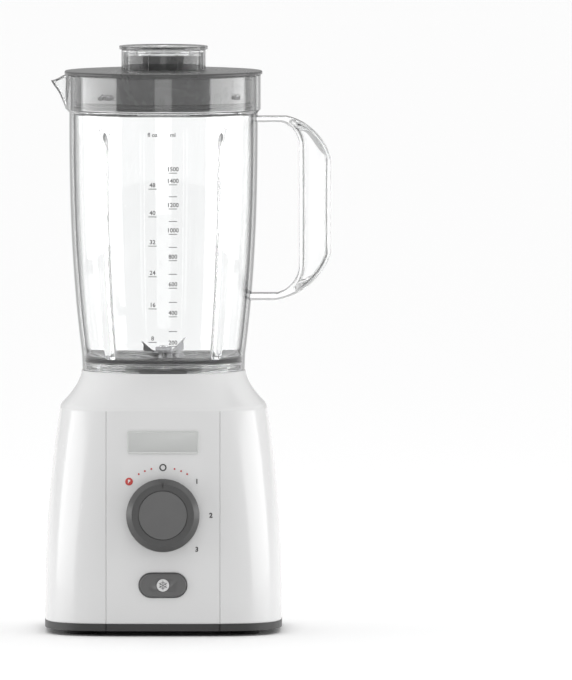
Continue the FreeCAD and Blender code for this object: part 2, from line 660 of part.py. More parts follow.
def motor_lower_bracket():
    """The lower bracket, with holes over the base plate's four posts."""
    side = POST_SPACING + 12
    plate = bracket(LOWER_BRACKET_HEIGHT, side, side)
    low = LOWER_BRACKET_HEIGHT - 1
    high = LOWER_BRACKET_HEIGHT + BRACKET_THICKNESS + 1
    spots = corners(POST_HALF, POST_HALF)
    return cut_all(plate, [cylinder(DAMPER_BORE, low, high, x, y) for x, y in spots])


def bush(height):
    """A plain bearing pressed into a motor bracket."""
    bore = SHAFT_RADIUS + RUNNING_CLEARANCE
    return tube(BUSH_RADIUS, bore, height - 1, height + BRACKET_THICKNESS + 3)


def stator_core():
    """The laminated stator, with two pole faces and the bolts' holes."""
    half_x = STATOR_WIDTH / 2.0
    half_y = STATOR_DEPTH / 2.0
    core = block(-half_x, half_x, -half_y, half_y, STATOR_BOTTOM, STATOR_TOP)
    core = core.makeChamfer(2.0, [e for e in core.Edges if e.BoundBox.ZLength > STATOR_STACK - 1])
    low = STATOR_BOTTOM - 1
    high = STATOR_TOP + 1
    tools = [cylinder(STATOR_BORE, low, high)]
    tools += [cylinder(MOTOR_BOLT_RADIUS, low, high, x, y) for x, y in corners(BOLT_X, BOLT_Y)]
    slot = block(STATOR_BORE - 3, STATOR_BORE + 11, -half_y + 6, half_y - 6, low, high)
    tools += around(slot, 2)
    return cut_all(core, tools)


def field_coils():
    """The field winding's end turns above and below the stator."""
    inner = STATOR_BORE + AIR_GAP
    outer = inner + COIL_WALL
    top = tube(outer, inner, STATOR_TOP, STATOR_TOP + COIL_HEIGHT)
    bottom = tube(outer, inner, STATOR_BOTTOM - COIL_HEIGHT, STATOR_BOTTOM)
    return group([rounded_ring(top), rounded_ring(bottom)])


def rounded_ring(ring):
    """A ring with its four edges rounded, as a wound coil's are."""
    return ring.makeFillet(1.5, [e for e in ring.Edges if e.Closed])


def motor_bolts():
    """Four long bolts that clamp the stator between the brackets."""
    bolts = []
    top = UPPER_BRACKET_HEIGHT + BRACKET_THICKNESS
    for x, y in corners(BOLT_X, BOLT_Y):
        rod = cylinder(MOTOR_BOLT_RADIUS, LOWER_BRACKET_HEIGHT, top, x, y)
        bolts.append(rod.fuse(cylinder(2 * MOTOR_BOLT_RADIUS, top, top + 3, x, y)).removeSplitter())
    return group(bolts)


def motor_dampers():
    """Rubber rings between the posts and the lower bracket."""
    low = LOWER_BRACKET_HEIGHT - DAMPER_HEIGHT
    outer = POST_RADIUS + 1
    spots = corners(POST_HALF, POST_HALF)
    return group([tube(outer, DAMPER_BORE, low, LOWER_BRACKET_HEIGHT, x, y) for x, y in spots])


def brush_box(inner, outer, grow):
    """A brush-shaped bar along +X at the commutator's height."""
    half_y = BRUSH_WIDTH / 2.0 + grow
    half_z = BRUSH_HEIGHT / 2.0 + grow
    return block(inner, outer, -half_y, half_y, BRUSH_LEVEL - half_z, BRUSH_LEVEL + half_z)


def carbon_brushes():
    """Two carbon brushes that bear on the commutator."""
    near = COMMUTATOR_RADIUS + BRUSH_GAP
    return group(around(brush_box(near, near + BRUSH_LENGTH, 0), 2))


def brush_holders():
    """Two moulded holders that stand on the lower bracket and guide the brushes."""
    near = COMMUTATOR_RADIUS + 3.0
    far = near + BRUSH_LENGTH + 8.0
    sleeve = brush_box(near, far, 2.0)
    leg = block(far - 8, far, -5, 5, LOWER_BRACKET_HEIGHT + BRACKET_THICKNESS, BRUSH_LEVEL)
    holder = fused([sleeve, leg]).cut(brush_box(near - 1, far - 2, 0))
    return group(around(holder, 2))


def fan_shroud():
    """The duct that leads the fan's air out through the base plate's slots."""
    inner = FAN_RADIUS + 2.5
    wall = tube(inner + SHROUD_WALL, inner, PLATE_TOP, SHROUD_TOP)
    lid = tube(inner + SHROUD_WALL, FAN_RADIUS * 0.6, SHROUD_TOP - SHROUD_WALL, SHROUD_TOP)
    return fused([wall, lid])


def motor_shaft():
    """The steel shaft from the fan up to the drive coupling."""
    return cylinder(SHAFT_RADIUS, FAN_BOTTOM - 3, COUPLING_TOP - 1.5)


def armature_core():
    """The slotted laminations on the shaft."""
    core = tube(STATOR_BORE - AIR_GAP, SHAFT_RADIUS, STATOR_BOTTOM + 1, STATOR_TOP - 1)
    slot = block(STATOR_BORE - 7, STATOR_BORE + 1, -1.2, 1.2, STATOR_BOTTOM, STATOR_TOP)
    return cut_all(core, around(slot, ARMATURE_SLOTS))


def armature_winding():
    """The copper end turns at each end of the armature."""
    outer = STATOR_BORE - 5.0
    low = rounded_ring(tube(outer, SHAFT_RADIUS, STATOR_BOTTOM - 6, STATOR_BOTTOM + 1))
    high = rounded_ring(tube(outer, SHAFT_RADIUS, STATOR_TOP - 1, STATOR_TOP + 7))
    return group([low, high])


def commutator():
    """The segmented copper drum that the brushes bear on."""
    top = COMMUTATOR_BOTTOM + COMMUTATOR_HEIGHT
    drum = tube(COMMUTATOR_RADIUS, SHAFT_RADIUS, COMMUTATOR_BOTTOM, top)
    slot = block(COMMUTATOR_RADIUS - 1, COMMUTATOR_RADIUS + 1, -0.25, 0.25, COMMUTATOR_BOTTOM - 1, top + 1)
    return cut_all(drum, around(slot, COMMUTATOR_BARS))


def cooling_fan():
    """A radial fan: a disc with straight vanes under it."""
    top = FAN_BOTTOM + FAN_HEIGHT
    disc = tube(FAN_RADIUS, SHAFT_RADIUS, top - 2, top)
    hub = tube(SHAFT_RADIUS + 4, SHAFT_RADIUS, FAN_BOTTOM, top)
    vane = block(SHAFT_RADIUS + 3, FAN_RADIUS - 0.5, -0.7, 0.7, FAN_BOTTOM + 1, top - 1)
    return fused([disc, hub] + around(vane, FAN_BLADES))


def coupling_lobes(inner, outer, bottom, top, start):
    """The teeth of one half of the coupling."""
    lobe = wedge(inner, outer, bottom, top, 0, COUPLING_LOBE_ANGLE / 2.0)
    return around(lobe, COUPLING_LOBES, start)


def drive_coupling():
    """The dog with three teeth on top of the motor shaft."""
    core = cylinder(COUPLING_CORE_RADIUS, COUPLING_BOTTOM, COUPLING_TOP)
    teeth = coupling_lobes(COUPLING_CORE_RADIUS - 1, COUPLING_REACH, COUPLING_BOTTOM, COUPLING_TOP, 0)
    return fused([core] + teeth).cut(cylinder(SHAFT_RADIUS, COUPLING_BOTTOM - 1, COUPLING_TOP - 1.5))


# ---------------------------------------------------------------- switches and wiring
def rotary_switch():
    """The speed switch behind the panel, with a threaded neck through the wall."""
    near = SWITCH_NEAR
    far = near + SWITCH_DEPTH
    half = SWITCH_WIDTH / 2.0
    body = block(-half, half, near, far, -half + 2, half - 2)
    neck = peg(SWITCH_BUSH_RADIUS, -SWITCH_NUT_THICKNESS - 1, near + 1)
    tags = [block(x - 1.5, x + 1.5, far - 1, far + 6, -0.5, 0.5) for x in (-9, 0, 9)]
    switch = fused([body, neck] + tags)
    switch = switch.cut(peg(SPINDLE_RADIUS + RUNNING_CLEARANCE, -SWITCH_NUT_THICKNESS - 2, near + 8))
    return placed(switch, KNOB_PLACE)


def hexagon(across, height):
    """An upright hexagonal bar standing on the origin."""
    radius = across / math.sqrt(3)
    angles = [math.radians(60 * i) for i in range(6)]
    points = [V(radius * math.cos(a), radius * math.sin(a), 0) for a in angles]
    return Part.Face(Part.makePolygon(points + points[:1])).extrude(V(0, 0, height))


def switch_nut():
    """The thin nut that clamps the speed switch to the panel."""
    nut = hexagon(3 * SWITCH_BUSH_RADIUS, SWITCH_NUT_THICKNESS - SWITCH_NUT_LIFT)
    nut.rotate(V(0, 0, 0), V(1, 0, 0), 90)
    nut.translate(V(0, -SWITCH_NUT_LIFT, 0))
    return placed(nut.cut(peg(SWITCH_BUSH_RADIUS, -SWITCH_NUT_THICKNESS - 1, 1)), KNOB_PLACE)


def switch_spindle():
    """The switch's spindle, which turns with the knob."""
    return placed(peg(SPINDLE_RADIUS, SPINDLE_END - KNOB_PROUD, SWITCH_NEAR + 7), KNOB_PLACE)


def speed_knob():
    """The round knob: a bevelled rim, a recess for its insert, a pointer notch and a hollow back."""
    knob = spun(
        [
            (0, -KNOB_PROUD + KNOB_INSERT_THICKNESS),
            (KNOB_INSERT_RADIUS, -KNOB_PROUD + KNOB_INSERT_THICKNESS),
            (KNOB_INSERT_RADIUS, -KNOB_PROUD),
            (KNOB_FACE_RADIUS, -KNOB_PROUD),
            (KNOB_RADIUS, -KNOB_PROUD + 4),
            (KNOB_RADIUS, -KNOB_GAP),
            (KNOB_RADIUS - KNOB_SKIRT_WALL, -KNOB_GAP),
            (KNOB_RADIUS - KNOB_SKIRT_WALL, -KNOB_PROUD + 6),
            (6.5, -KNOB_PROUD + 6),
            (6.5, -SWITCH_NUT_THICKNESS - 1.6),
            (0, -SWITCH_NUT_THICKNESS - 1.6),
        ]
    )
    tip = V(0, 0, KNOB_INSERT_RADIUS + 1)
    edge = KNOB_RADIUS + 1
    notch = Part.makePolygon([tip, V(-2.2, 0, edge), V(2.2, 0, edge), tip])
    notch = Part.Face(notch).extrude(V(0, 3, 0))
    notch.translate(V(0, -KNOB_PROUD - 1, 0))
    bore = peg(SPINDLE_RADIUS, SPINDLE_END - KNOB_PROUD, 0)
    return placed(cut_all(knob, [notch, bore]), KNOB_PLACE)


def knob_insert():
    """The satin disc let into the knob's face."""
    disc = spun(
        [
            (0, -KNOB_PROUD + 0.3),
            (KNOB_INSERT_RADIUS - 0.6, -KNOB_PROUD + 0.3),
            (KNOB_INSERT_RADIUS - 0.2, -KNOB_PROUD + 0.7),
            (KNOB_INSERT_RADIUS - 0.2, -KNOB_PROUD + KNOB_INSERT_THICKNESS),
            (0, -KNOB_PROUD + KNOB_INSERT_THICKNESS),
        ]
    )
    return placed(disc, KNOB_PLACE)


def ice_button():
    """The pill-shaped button with a stem towards its switch."""
    cap = pill(BUTTON_WIDTH, BUTTON_TALL, -BUTTON_PROUD, CASING_WALL + 1)
    cap = cap.makeChamfer(0.8, [e for e in cap.Edges if e.BoundBox.YMax < -BUTTON_PROUD + 0.01])
    keeper = pill(BUTTON_WIDTH + 5, BUTTON_TALL + 5, CASING_WALL + 1, CASING_WALL + 2.5)
    stem = peg(BUTTON_STEM_RADIUS, CASING_WALL + 2, BUTTON_STEM_END)
    pocket = peg(ICON_RADIUS, -BUTTON_PROUD - 1, -BUTTON_PROUD + ICON_THICKNESS)
    return placed(fused([cap, keeper, stem]).cut(pocket), BUTTON_PLACE)


def ice_icon():
    """A pale disc with a raised six-armed frost mark, let into the button."""
    disc = peg(ICON_RADIUS - 0.1, -BUTTON_PROUD, -BUTTON_PROUD + ICON_THICKNESS)
    arms = []
    for i in range(3):
        arm = block(-3.2, 3.2, -BUTTON_PROUD - 0.2, -BUTTON_PROUD, -0.3, 0.3)
        arm.rotate(V(0, 0, 0), V(0, 1, 0), 60.0 * i)
        arms.append(arm)
    return placed(fused([disc] + arms), BUTTON_PLACE)


def ice_switch():
    """The small snap switch behind the button."""
    near = ICE_SWITCH_NEAR + 1.5
    body = block(-10, 10, near, near + ICE_SWITCH_THICKNESS, -6, 6)
    pin = peg(1.6, ICE_SWITCH_NEAR, near + 0.5)
    return placed(fused([body, pin]), BUTTON_PLACE)


def switch_carrier():
    """The upright plate on the base plate that holds the ice switch."""
    near = ICE_SWITCH_NEAR + 1.5 + ICE_SWITCH_THICKNESS
    upright = placed(block(-18, 18, near, near + 2, -BUTTON_HEIGHT, 14), BUTTON_PLACE)
    back = BUTTON_PLACE.multVec(V(0, near, 0)).y
    foot = block(-18, 18, back, back + 12, PLATE_TOP, PLATE_TOP + 2)
    room = block(-30, 30, -CASING_HALF_DEPTH, 0, PLATE_TOP, SHOULDER_HEIGHT)
    return fused([upright.common(room), foot])


def control_board():
    """The circuit board with its largest components, upright in two rails of the base plate."""
    side = BOARD_X + BOARD_THICKNESS
    half = BOARD_HALF_WIDTH
    board = block(BOARD_X, side, -half, half, PLATE_TOP, PLATE_TOP + BOARD_HEIGHT)
    choke = block(side, side + 12, -20, -6, 34, 50)
    sink = block(side, side + 9, 2, 22, 30, 56)
    can = Part.makeCylinder(5, 12, V(side, -10, 26), V(1, 0, 0))
    return fused([board, choke, sink, can])


def terminal_block():
    """The screw block that the mains wires come to."""
    body = block(20, 50, 44, 58, PLATE_TOP, PLATE_TOP + 14)
    holes = [Part.makeCylinder(2, 20, V(x, 40, PLATE_TOP + 7), V(0, 1, 0)) for x in (27, 35, 43)]
    return cut_all(body, holes)


def interlock_switch():
    """The snap switch under the plunger, hung from the seat's bracket."""
    top = SPRING_SHELF - 2
    body = block(-9, 9, PLUNGER_Y - 5, PLUNGER_Y + 5, top - 16, top)
    return body.cut(cylinder(PLUNGER_RADIUS + 0.5, top - PLUNGER_TRAVEL - 1.5, top + 1, 0, PLUNGER_Y))


def interlock_plunger():
    """The pin that the blade unit's ring holds down while the jug is on."""
    bottom = SPRING_SHELF - 2
    pin = cylinder(PLUNGER_RADIUS, bottom, HOLDER_RING_BOTTOM, 0, PLUNGER_Y)
    collar = SPRING_SHELF + SPRING_LENGTH
    outer = PLUNGER_RADIUS + PLUNGER_COLLAR_WIDTH
    return fused([pin, cylinder(outer, collar, collar + PLUNGER_COLLAR_THICKNESS, 0, PLUNGER_Y)])


def interlock_spring():
    """The coil spring that lifts the plunger when the jug is taken away."""
    radius = PLUNGER_RADIUS + 2 * SPRING_WIRE
    rise = SPRING_LENGTH - 2 * SPRING_WIRE
    path = Part.makeHelix(rise / SPRING_TURNS, rise, radius)
    section = Part.Wire([Part.makeCircle(SPRING_WIRE / 2.0, V(radius, 0, 0), V(0, 1, 0))])
    coil = Part.Wire(path).makePipeShell([section], True, True)
    coil.translate(V(0, PLUNGER_Y, SPRING_SHELF + SPRING_WIRE))
    return coil


# ---------------------------------------------------------------- jug
def jug_radius(height):
    """The jug's outer radius at a height between its foot and its collar."""
    t = (height - JUG_CURVE_BOTTOM) / (JUG_CURVE_TOP - JUG_CURVE_BOTTOM)
    t = min(max(t, 0.0), 1.0)
    return JUG_LOW_RADIUS + (JUG_HIGH_RADIUS - JUG_LOW_RADIUS) * (1 - (1 - t) ** JUG_CURVE_POWER)


def wall_curve(offset, low, high):
    """The jug wall's curve between two heights, moved in by an offset."""
    heights = [low + (high - low) * i / 6.0 for i in range(7)]
    curve = Part.BSplineCurve()
    curve.interpolate([V(jug_radius(z) - offset, 0, z) for z in heights])
    return curve.toShape()


def jug_cavity():
    """The space inside the jug, from its floor to its rim."""
    floor_r = jug_radius(JUG_FLOOR) - JUG_WALL
    low = JUG_CURVE_BOTTOM
    curve = wall_curve(JUG_WALL, low, JUG_CURVE_TOP)
    outline = [V(0, 0, JUG_FLOOR), V(floor_r, 0, JUG_FLOOR), V(jug_radius(low) - JUG_WALL, 0, low)]
    edges = [Part.makeLine(outline[0], outline[1]), Part.makeLine(outline[1], outline[2]), curve]
    top = [
        V(jug_radius(JUG_CURVE_TOP) - JUG_WALL, 0, JUG_CURVE_TOP),
        V(COLLAR_BORE, 0, COLLAR_BOTTOM),
        V(COLLAR_BORE, 0, JUG_TOP + 5),
        V(0, 0, JUG_TOP + 5),
        V(0, 0, JUG_FLOOR),
    ]
    edges += [Part.makeLine(a, b) for a, b in zip(top, top[1:])]
    return Part.Face(Part.Wire(edges)).revolve(V(0, 0, 0), UP, 360)


def jug_body():
    """The jug's turned outside as a full solid, from its foot to its rim."""
    low = JUG_CURVE_BOTTOM
    start = [V(0, 0, NECK_TOP), V(JUG_FOOT_RADIUS, 0, NECK_TOP), V(jug_radius(low), 0, low)]
    edges = [Part.makeLine(a, b) for a, b in zip(start, start[1:])]
    edges.append(wall_curve(0, low, JUG_CURVE_TOP))
    top = [
        V(jug_radius(JUG_CURVE_TOP), 0, JUG_CURVE_TOP),
        V(COLLAR_RADIUS, 0, COLLAR_BOTTOM),
        V(COLLAR_RADIUS, 0, JUG_TOP),
        V(0, 0, JUG_TOP),
        V(0, 0, NECK_TOP),
    ]
    edges += [Part.makeLine(a, b) for a, b in zip(top, top[1:])]
    return Part.Face(Part.Wire(edges)).revolve(V(0, 0, 0), UP, 360)


def jug_rib(degrees):
    """One of the four upright ribs inside the jug that fold the flow back to the blades."""
    foot = JUG_FLOOR - 1
    heights = [foot + (RIB_TOP - RIB_TAPER - foot) * i / 6.0 for i in range(7)]
    inner = [V(jug_radius(z) - JUG_WALL - RIB_DEPTH, 0, z) for z in heights]
    outer = [V(jug_radius(z) - JUG_WALL / 2.0, 0, z) for z in [RIB_TOP] + heights[::-1]]
    points = inner + [V(jug_radius(RIB_TOP) - JUG_WALL, 0, RIB_TOP)] + outer
    face = Part.Face(Part.makePolygon(points + points[:1]))
    rib = face.extrude(V(0, RIB_WIDTH, 0))
    rib.translate(V(0, -RIB_WIDTH / 2.0, 0))
    rib.rotate(V(0, 0, 0), UP, degrees)
    return rib


def spout_plan(height, reach, half_width, root):
    """A rounded V in plan that points to -X, closed behind at the root."""
    radius = SPOUT_TIP_RADIUS
    tip = V(-reach, 0, height)
    slope = math.atan2(half_width - radius * 0.8, reach - root)
    touch = V(-reach + radius * (1 - math.sin(slope)), radius * math.cos(slope), height)
    mirror = V(touch.x, -touch.y, height)
    upper = V(-root, half_width, height)
    lower = V(-root, -half_width, height)
    edges = [
        Part.makeLine(upper, touch),
        Part.Arc(touch, tip, mirror).toShape(),
        Part.makeLine(mirror, lower),
        Part.makeLine(lower, upper),
    ]
    return Part.Wire(edges)


def spout_form(inset):
    """The pouring lip as a full solid, drawn in by an inset."""
    root = COLLAR_BORE - 6.0
    run = SPOUT_REACH - COLLAR_RADIUS
    rise = SPOUT_TIP_HEIGHT - COLLAR_BOTTOM
    over = (JUG_TOP - COLLAR_BOTTOM) / rise
    low_reach = COLLAR_RADIUS - 0.4 - inset
    low = spout_plan(COLLAR_BOTTOM + inset, low_reach, SPOUT_ROOT_HALF_WIDTH - inset, root)
    high = spout_plan(JUG_TOP + 1, COLLAR_RADIUS + run * over - inset, SPOUT_HALF_WIDTH - inset, root)
    return Part.makeLoft([low, high], True, True)


def spout_trim():
    """Takes the lip's top down towards its tip."""
    points = [
        V(-SPOUT_REACH - 12, 0, SPOUT_TIP_HEIGHT - 4.6),
        V(-LID_RADIUS + 1.0, 0, JUG_TOP),
        V(-LID_RADIUS + 1.0, 0, JUG_TOP + 12),
        V(-SPOUT_REACH - 12, 0, JUG_TOP + 12),
    ]
    face = Part.Face(Part.makePolygon(points + points[:1]))
    cutter = face.extrude(V(0, 4 * SPOUT_HALF_WIDTH, 0))
    cutter.translate(V(0, -2 * SPOUT_HALF_WIDTH, 0))
    return cutter.fuse(cylinder(LID_RADIUS + 5, JUG_TOP, JUG_TOP + 12))


def handle_outline(inner):
    """The handle's outer or inner edge, from the jug's wall round the grip and back."""
    root = JUG_LOW_RADIUS - JUG_WALL / 2.0
    if inner:
        x = HANDLE_REACH - HANDLE_GRIP_WIDTH
        top = HANDLE_TOP - HANDLE_TOP_STRAP
        bottom = HANDLE_BOTTOM + HANDLE_BOTTOM_STRAP
        top_x = HANDLE_TOP_CORNER_X - 4.0
        bottom_x = HANDLE_BOTTOM_CORNER_X
        grip_top = HANDLE_GRIP_TOP + 11.0
        grip_bottom = HANDLE_GRIP_BOTTOM - 9.0
        sweep = HANDLE_SWEEP_INNER
    else:
        x = HANDLE_REACH
        top = HANDLE_TOP
        bottom = HANDLE_BOTTOM
        top_x = HANDLE_TOP_CORNER_X
        bottom_x = HANDLE_BOTTOM_CORNER_X - 2.0
        grip_top = HANDLE_GRIP_TOP
        grip_bottom = HANDLE_GRIP_BOTTOM
        sweep = HANDLE_SWEEP_OUTER
    rise = sweep * HANDLE_SWEEP_RISE
    high = V(top_x + (x - top_x) * sweep, 0, grip_top + (top - grip_top) * rise)
    low = V(bottom_x + (x - bottom_x) * sweep, 0, grip_bottom + (bottom - grip_bottom) * rise)
    return [
        Part.makeLine(V(root, 0, top), V(top_x, 0, top)),
        Part.Arc(V(top_x, 0, top), high, V(x, 0, grip_top)).toShape(),
        Part.makeLine(V(x, 0, grip_top), V(x, 0, grip_bottom)),
        Part.Arc(V(x, 0, grip_bottom), low, V(bottom_x, 0, bottom)).toShape(),
        Part.makeLine(V(bottom_x, 0, bottom), V(root, 0, bottom)),
    ]


def handle():
    """The handle, a flanged grip with a thin web, before it joins the jug's wall."""
    root = JUG_LOW_RADIUS - JUG_WALL / 2.0
    outer = handle_outline(False)
    outer.append(Part.makeLine(V(root, 0, HANDLE_BOTTOM), V(root, 0, HANDLE_TOP)))
    inner = handle_outline(True)
    inner_low = V(root, 0, HANDLE_BOTTOM + HANDLE_BOTTOM_STRAP)
    inner.append(Part.makeLine(inner_low, V(root, 0, HANDLE_TOP - HANDLE_TOP_STRAP)))
    full = Part.Face(Part.Wire(outer))
    gap = Part.Face(Part.Wire(inner))
    section = full.cut(gap)
    solid = section.extrude(V(0, HANDLE_DEPTH, 0))
    solid.translate(V(0, -HANDLE_DEPTH / 2.0, 0))
    pocket = full.makeOffset2D(-HANDLE_FLANGE).cut(gap.makeOffset2D(HANDLE_FLANGE))
    keep = Part.makePlane(400, 400, V(HANDLE_TOP_CORNER_X + 4, 0, 0), V(0, -1, 0), V(1, 0, 0))
    pocket = pocket.common(keep)
    for side in (-1, 1):
        depth = V(0, side * HANDLE_DEPTH, 0)
        cutter = pocket.extrude(depth)
        cutter.translate(V(0, side * HANDLE_WEB / 2.0, 0))
        solid = solid.cut(cutter)
    return solid


def bayonet_lugs(inner, outer, bottom):
    """Evenly spaced lugs between two radii."""
    return around(wedge(inner, outer, bottom, bottom + LUG_THICKNESS, 0, LUG_ANGLE / 2.0), LUG_COUNT)


def jug():
    """The clear jug with its collar, ribs, spout, handle, floor and bayonet neck."""
    cavity = jug_cavity()
    body = jug_body()
    foot_bore = JUG_FOOT_RADIUS - JUG_WALL
    under = tube(foot_bore, NECK_OUTER_RADIUS, NECK_TOP - 1, FLOOR_BOTTOM)
    body = body.cut(under).cut(cylinder(NECK_BORE_RADIUS, NECK_TOP - 1, JUG_FLOOR + 1))
    body = body.cut(tube(NECK_OUTER_RADIUS + 1, NECK_BORE_RADIUS - 1, NECK_TOP - 1, JUG_NECK_BOTTOM))
    body = body.fuse(spout_form(0).cut(spout_trim()))
    grip = handle().cut(cavity)
    body = body.fuse(grip)
    passage = spout_form(SPOUT_WALL)
    body = body.cut(cavity).cut(passage)
    dip = V(0, 0, JUG_FLOOR - JUG_FLOOR_FALL)
    fall = Part.makeCone(NECK_BORE_RADIUS, foot_bore - 1.0, JUG_FLOOR_FALL, dip, UP)
    body = body.cut(fall)
    ribs = [jug_rib(a) for a in (90 - RIB_ANGLE, 90 + RIB_ANGLE, 270 - RIB_ANGLE, 270 + RIB_ANGLE)]
    lug_reach = NECK_OUTER_RADIUS + LUG_DEPTH
    lugs = bayonet_lugs(NECK_OUTER_RADIUS - 1, lug_reach, JUG_NECK_BOTTOM)
    ridges = []
    for i in range(FOOT_RIDGES):
        low = NECK_TOP + 1.2 + i * RIDGE_PITCH
        ridges.append(tube(foot_bore + 1, foot_bore - RIDGE_DEPTH, low, low + RIDGE_HEIGHT))
    body = fused([body] + ribs + lugs + ridges)
    gap = FIT_CLEARANCE
    margin = math.degrees(gap / NECK_RADIUS)
    high = NECK_TOP + TONGUE_HEIGHT + gap
    notch = wedge(SEAT_INNER - 2, NECK_RADIUS + 3, NECK_TOP - 1, high, -90, TONGUE_HALF_ANGLE + margin)
    return body.cut(notch.common(cylinder(SEAT_RADIUS + gap, NECK_TOP - 1, high)))


# ---------------------------------------------------------------- blade unit
def blade_holder():
    """The grey holder: a dish under the blades, a flange, a grip ring with lugs and a hub."""
    hub_bottom = HOLDER_FLANGE_BOTTOM
    plate_bottom = HOLDER_DISH - HOLDER_WALL
    body = turned(
        [
            (BLADE_BORE_RADIUS, hub_bottom),
            (HOLDER_HUB_RADIUS, hub_bottom),
            (HOLDER_HUB_RADIUS, plate_bottom),
            (HOLDER_DISC_RADIUS - HOLDER_WALL, plate_bottom),
            (HOLDER_DISC_RADIUS - HOLDER_WALL, HOLDER_FLANGE_BOTTOM),
            (HOLDER_RING_INNER, HOLDER_FLANGE_BOTTOM),
            (HOLDER_RING_INNER, HOLDER_RING_BOTTOM),
            (HOLDER_RING_OUTER, HOLDER_RING_BOTTOM),
            (HOLDER_RING_OUTER, HOLDER_RING_TOP),
            (HOLDER_RING_INNER, HOLDER_RING_TOP),
            (HOLDER_RING_INNER, HOLDER_FLANGE_TOP),
            (HOLDER_DISC_RADIUS, HOLDER_FLANGE_TOP),
            (HOLDER_DISC_RADIUS, HOLDER_DISH),
            (DOME_RADIUS, HOLDER_DISH),
            (DOME_TOP_RADIUS, HOLDER_DISH + DOME_HEIGHT * 0.8),
            (BLADE_BORE_RADIUS + 1.5, DOME_TOP),
            (BLADE_BORE_RADIUS, DOME_TOP),
        ]
    )
    lug_bottom = JUG_NECK_BOTTOM + LUG_THICKNESS + FIT_CLEARANCE
    lugs = bayonet_lugs(NECK_OUTER_RADIUS + FIT_CLEARANCE, HOLDER_RING_INNER + 1, lug_bottom)
    low = HOLDER_RING_BOTTOM - 1
    high = HOLDER_FLANGE_BOTTOM - 1
    grip = cylinder(HOLDER_GRIP_RADIUS, low, high, HOLDER_RING_OUTER + HOLDER_GRIP_RADIUS - 1)
    body = cut_all(body, around(grip, HOLDER_GRIPS, 15))
    return fused([body] + lugs)


def blade_seal():
    """The flat rubber ring pinched between the holder's flange and the jug's neck."""
    return tube(NECK_OUTER_RADIUS, NECK_BORE_RADIUS, HOLDER_FLANGE_TOP, JUG_NECK_BOTTOM)


def blade_bush():
    """The plain bearing in the holder's hub."""
    bore = SHAFT_RADIUS + RUNNING_CLEARANCE
    return tube(BLADE_BORE_RADIUS, bore, HOLDER_FLANGE_BOTTOM, DOME_TOP - BLADE_SEAL_HEIGHT)


def shaft_seal():
    """The lip seal above the bush that keeps food out of it."""
    bore = SHAFT_RADIUS + 2 * RUNNING_CLEARANCE
    return tube(BLADE_BORE_RADIUS, bore, DOME_TOP - BLADE_SEAL_HEIGHT, DOME_TOP - 0.3)


def blade_shaft():
    """The blade spindle: a journal in the bush and a stud for the blades and nut."""
    bottom = COUPLING_TOP + DRIVEN_GAP
    journal = cylinder(SHAFT_RADIUS, bottom, BLADE_SEAT)
    stud = cylinder(STUD_RADIUS, BLADE_SEAT, BLADE_STACK_TOP + NUT_HEIGHT + 1)
    return fused([journal, stud])


def blade(height, rise, degrees):
    """A two-armed blade: a hub disc and pointed arms bent up or down."""
    hub = tube(BLADE_HUB_RADIUS, STUD_RADIUS, height, height + BLADE_THICKNESS)
    half = BLADE_ROOT_WIDTH / 2.0
    root = BLADE_HUB_RADIUS - 2.5
    reach = BLADE_REACH / math.cos(math.radians(rise))
    points = [
        V(root, -half, 0),
        V(root + 8, -half, 0),
        V(reach, half - 4, 0),
        V(reach - 1.5, half, 0),
        V(root, half, 0),
    ]
    arm = Part.Face(Part.makePolygon(points + points[:1])).extrude(V(0, 0, BLADE_THICKNESS))
    arm.rotate(V(root, 0, 0), V(0, -1, 0), rise)
    arm.translate(V(0, 0, height))
    arm = arm.cut(cylinder(STUD_RADIUS, height - 1, height + 2))
    shape = fused([hub] + around(arm, 2))
    shape.rotate(V(0, 0, 0), UP, degrees)
    return shape


def lower_blade():
    """The blade whose arms fall towards the dish."""
    return blade(BLADE_SEAT, -LOWER_BLADE_FALL, LOWER_BLADE_ANGLE)


def upper_blade():
    """The blade whose arms sweep up."""
    return blade(BLADE_SEAT + BLADE_THICKNESS, UPPER_BLADE_RISE, UPPER_BLADE_ANGLE)


def blade_nut():
    """The nut that clamps the blades on the stud."""
    nut = hexagon(NUT_ACROSS_FLATS, NUT_HEIGHT)
    nut.translate(V(0, 0, BLADE_STACK_TOP))
    return nut.cut(cylinder(STUD_RADIUS, BLADE_STACK_TOP - 1, BLADE_STACK_TOP + NUT_HEIGHT + 1))


def driven_coupling():
    """The cup under the blade shaft that drops over the motor's dog, its teeth between the dog's."""
    bottom = COUPLING_BOTTOM - 0.2
    roof = COUPLING_TOP + FIT_CLEARANCE
    top = roof + DRIVEN_TOP
    inner = COUPLING_REACH + FIT_CLEARANCE
    cup = cylinder(inner + DRIVEN_WALL, bottom, top).cut(cylinder(inner, bottom - 1, roof))
    near = COUPLING_CORE_RADIUS + FIT_CLEARANCE
    teeth = coupling_lobes(near, inner + 1, bottom, roof + 1, 180.0 / COUPLING_LOBES)
    return fused([cup] + teeth).cut(cylinder(SHAFT_RADIUS, COUPLING_TOP + DRIVEN_GAP, top + 1))


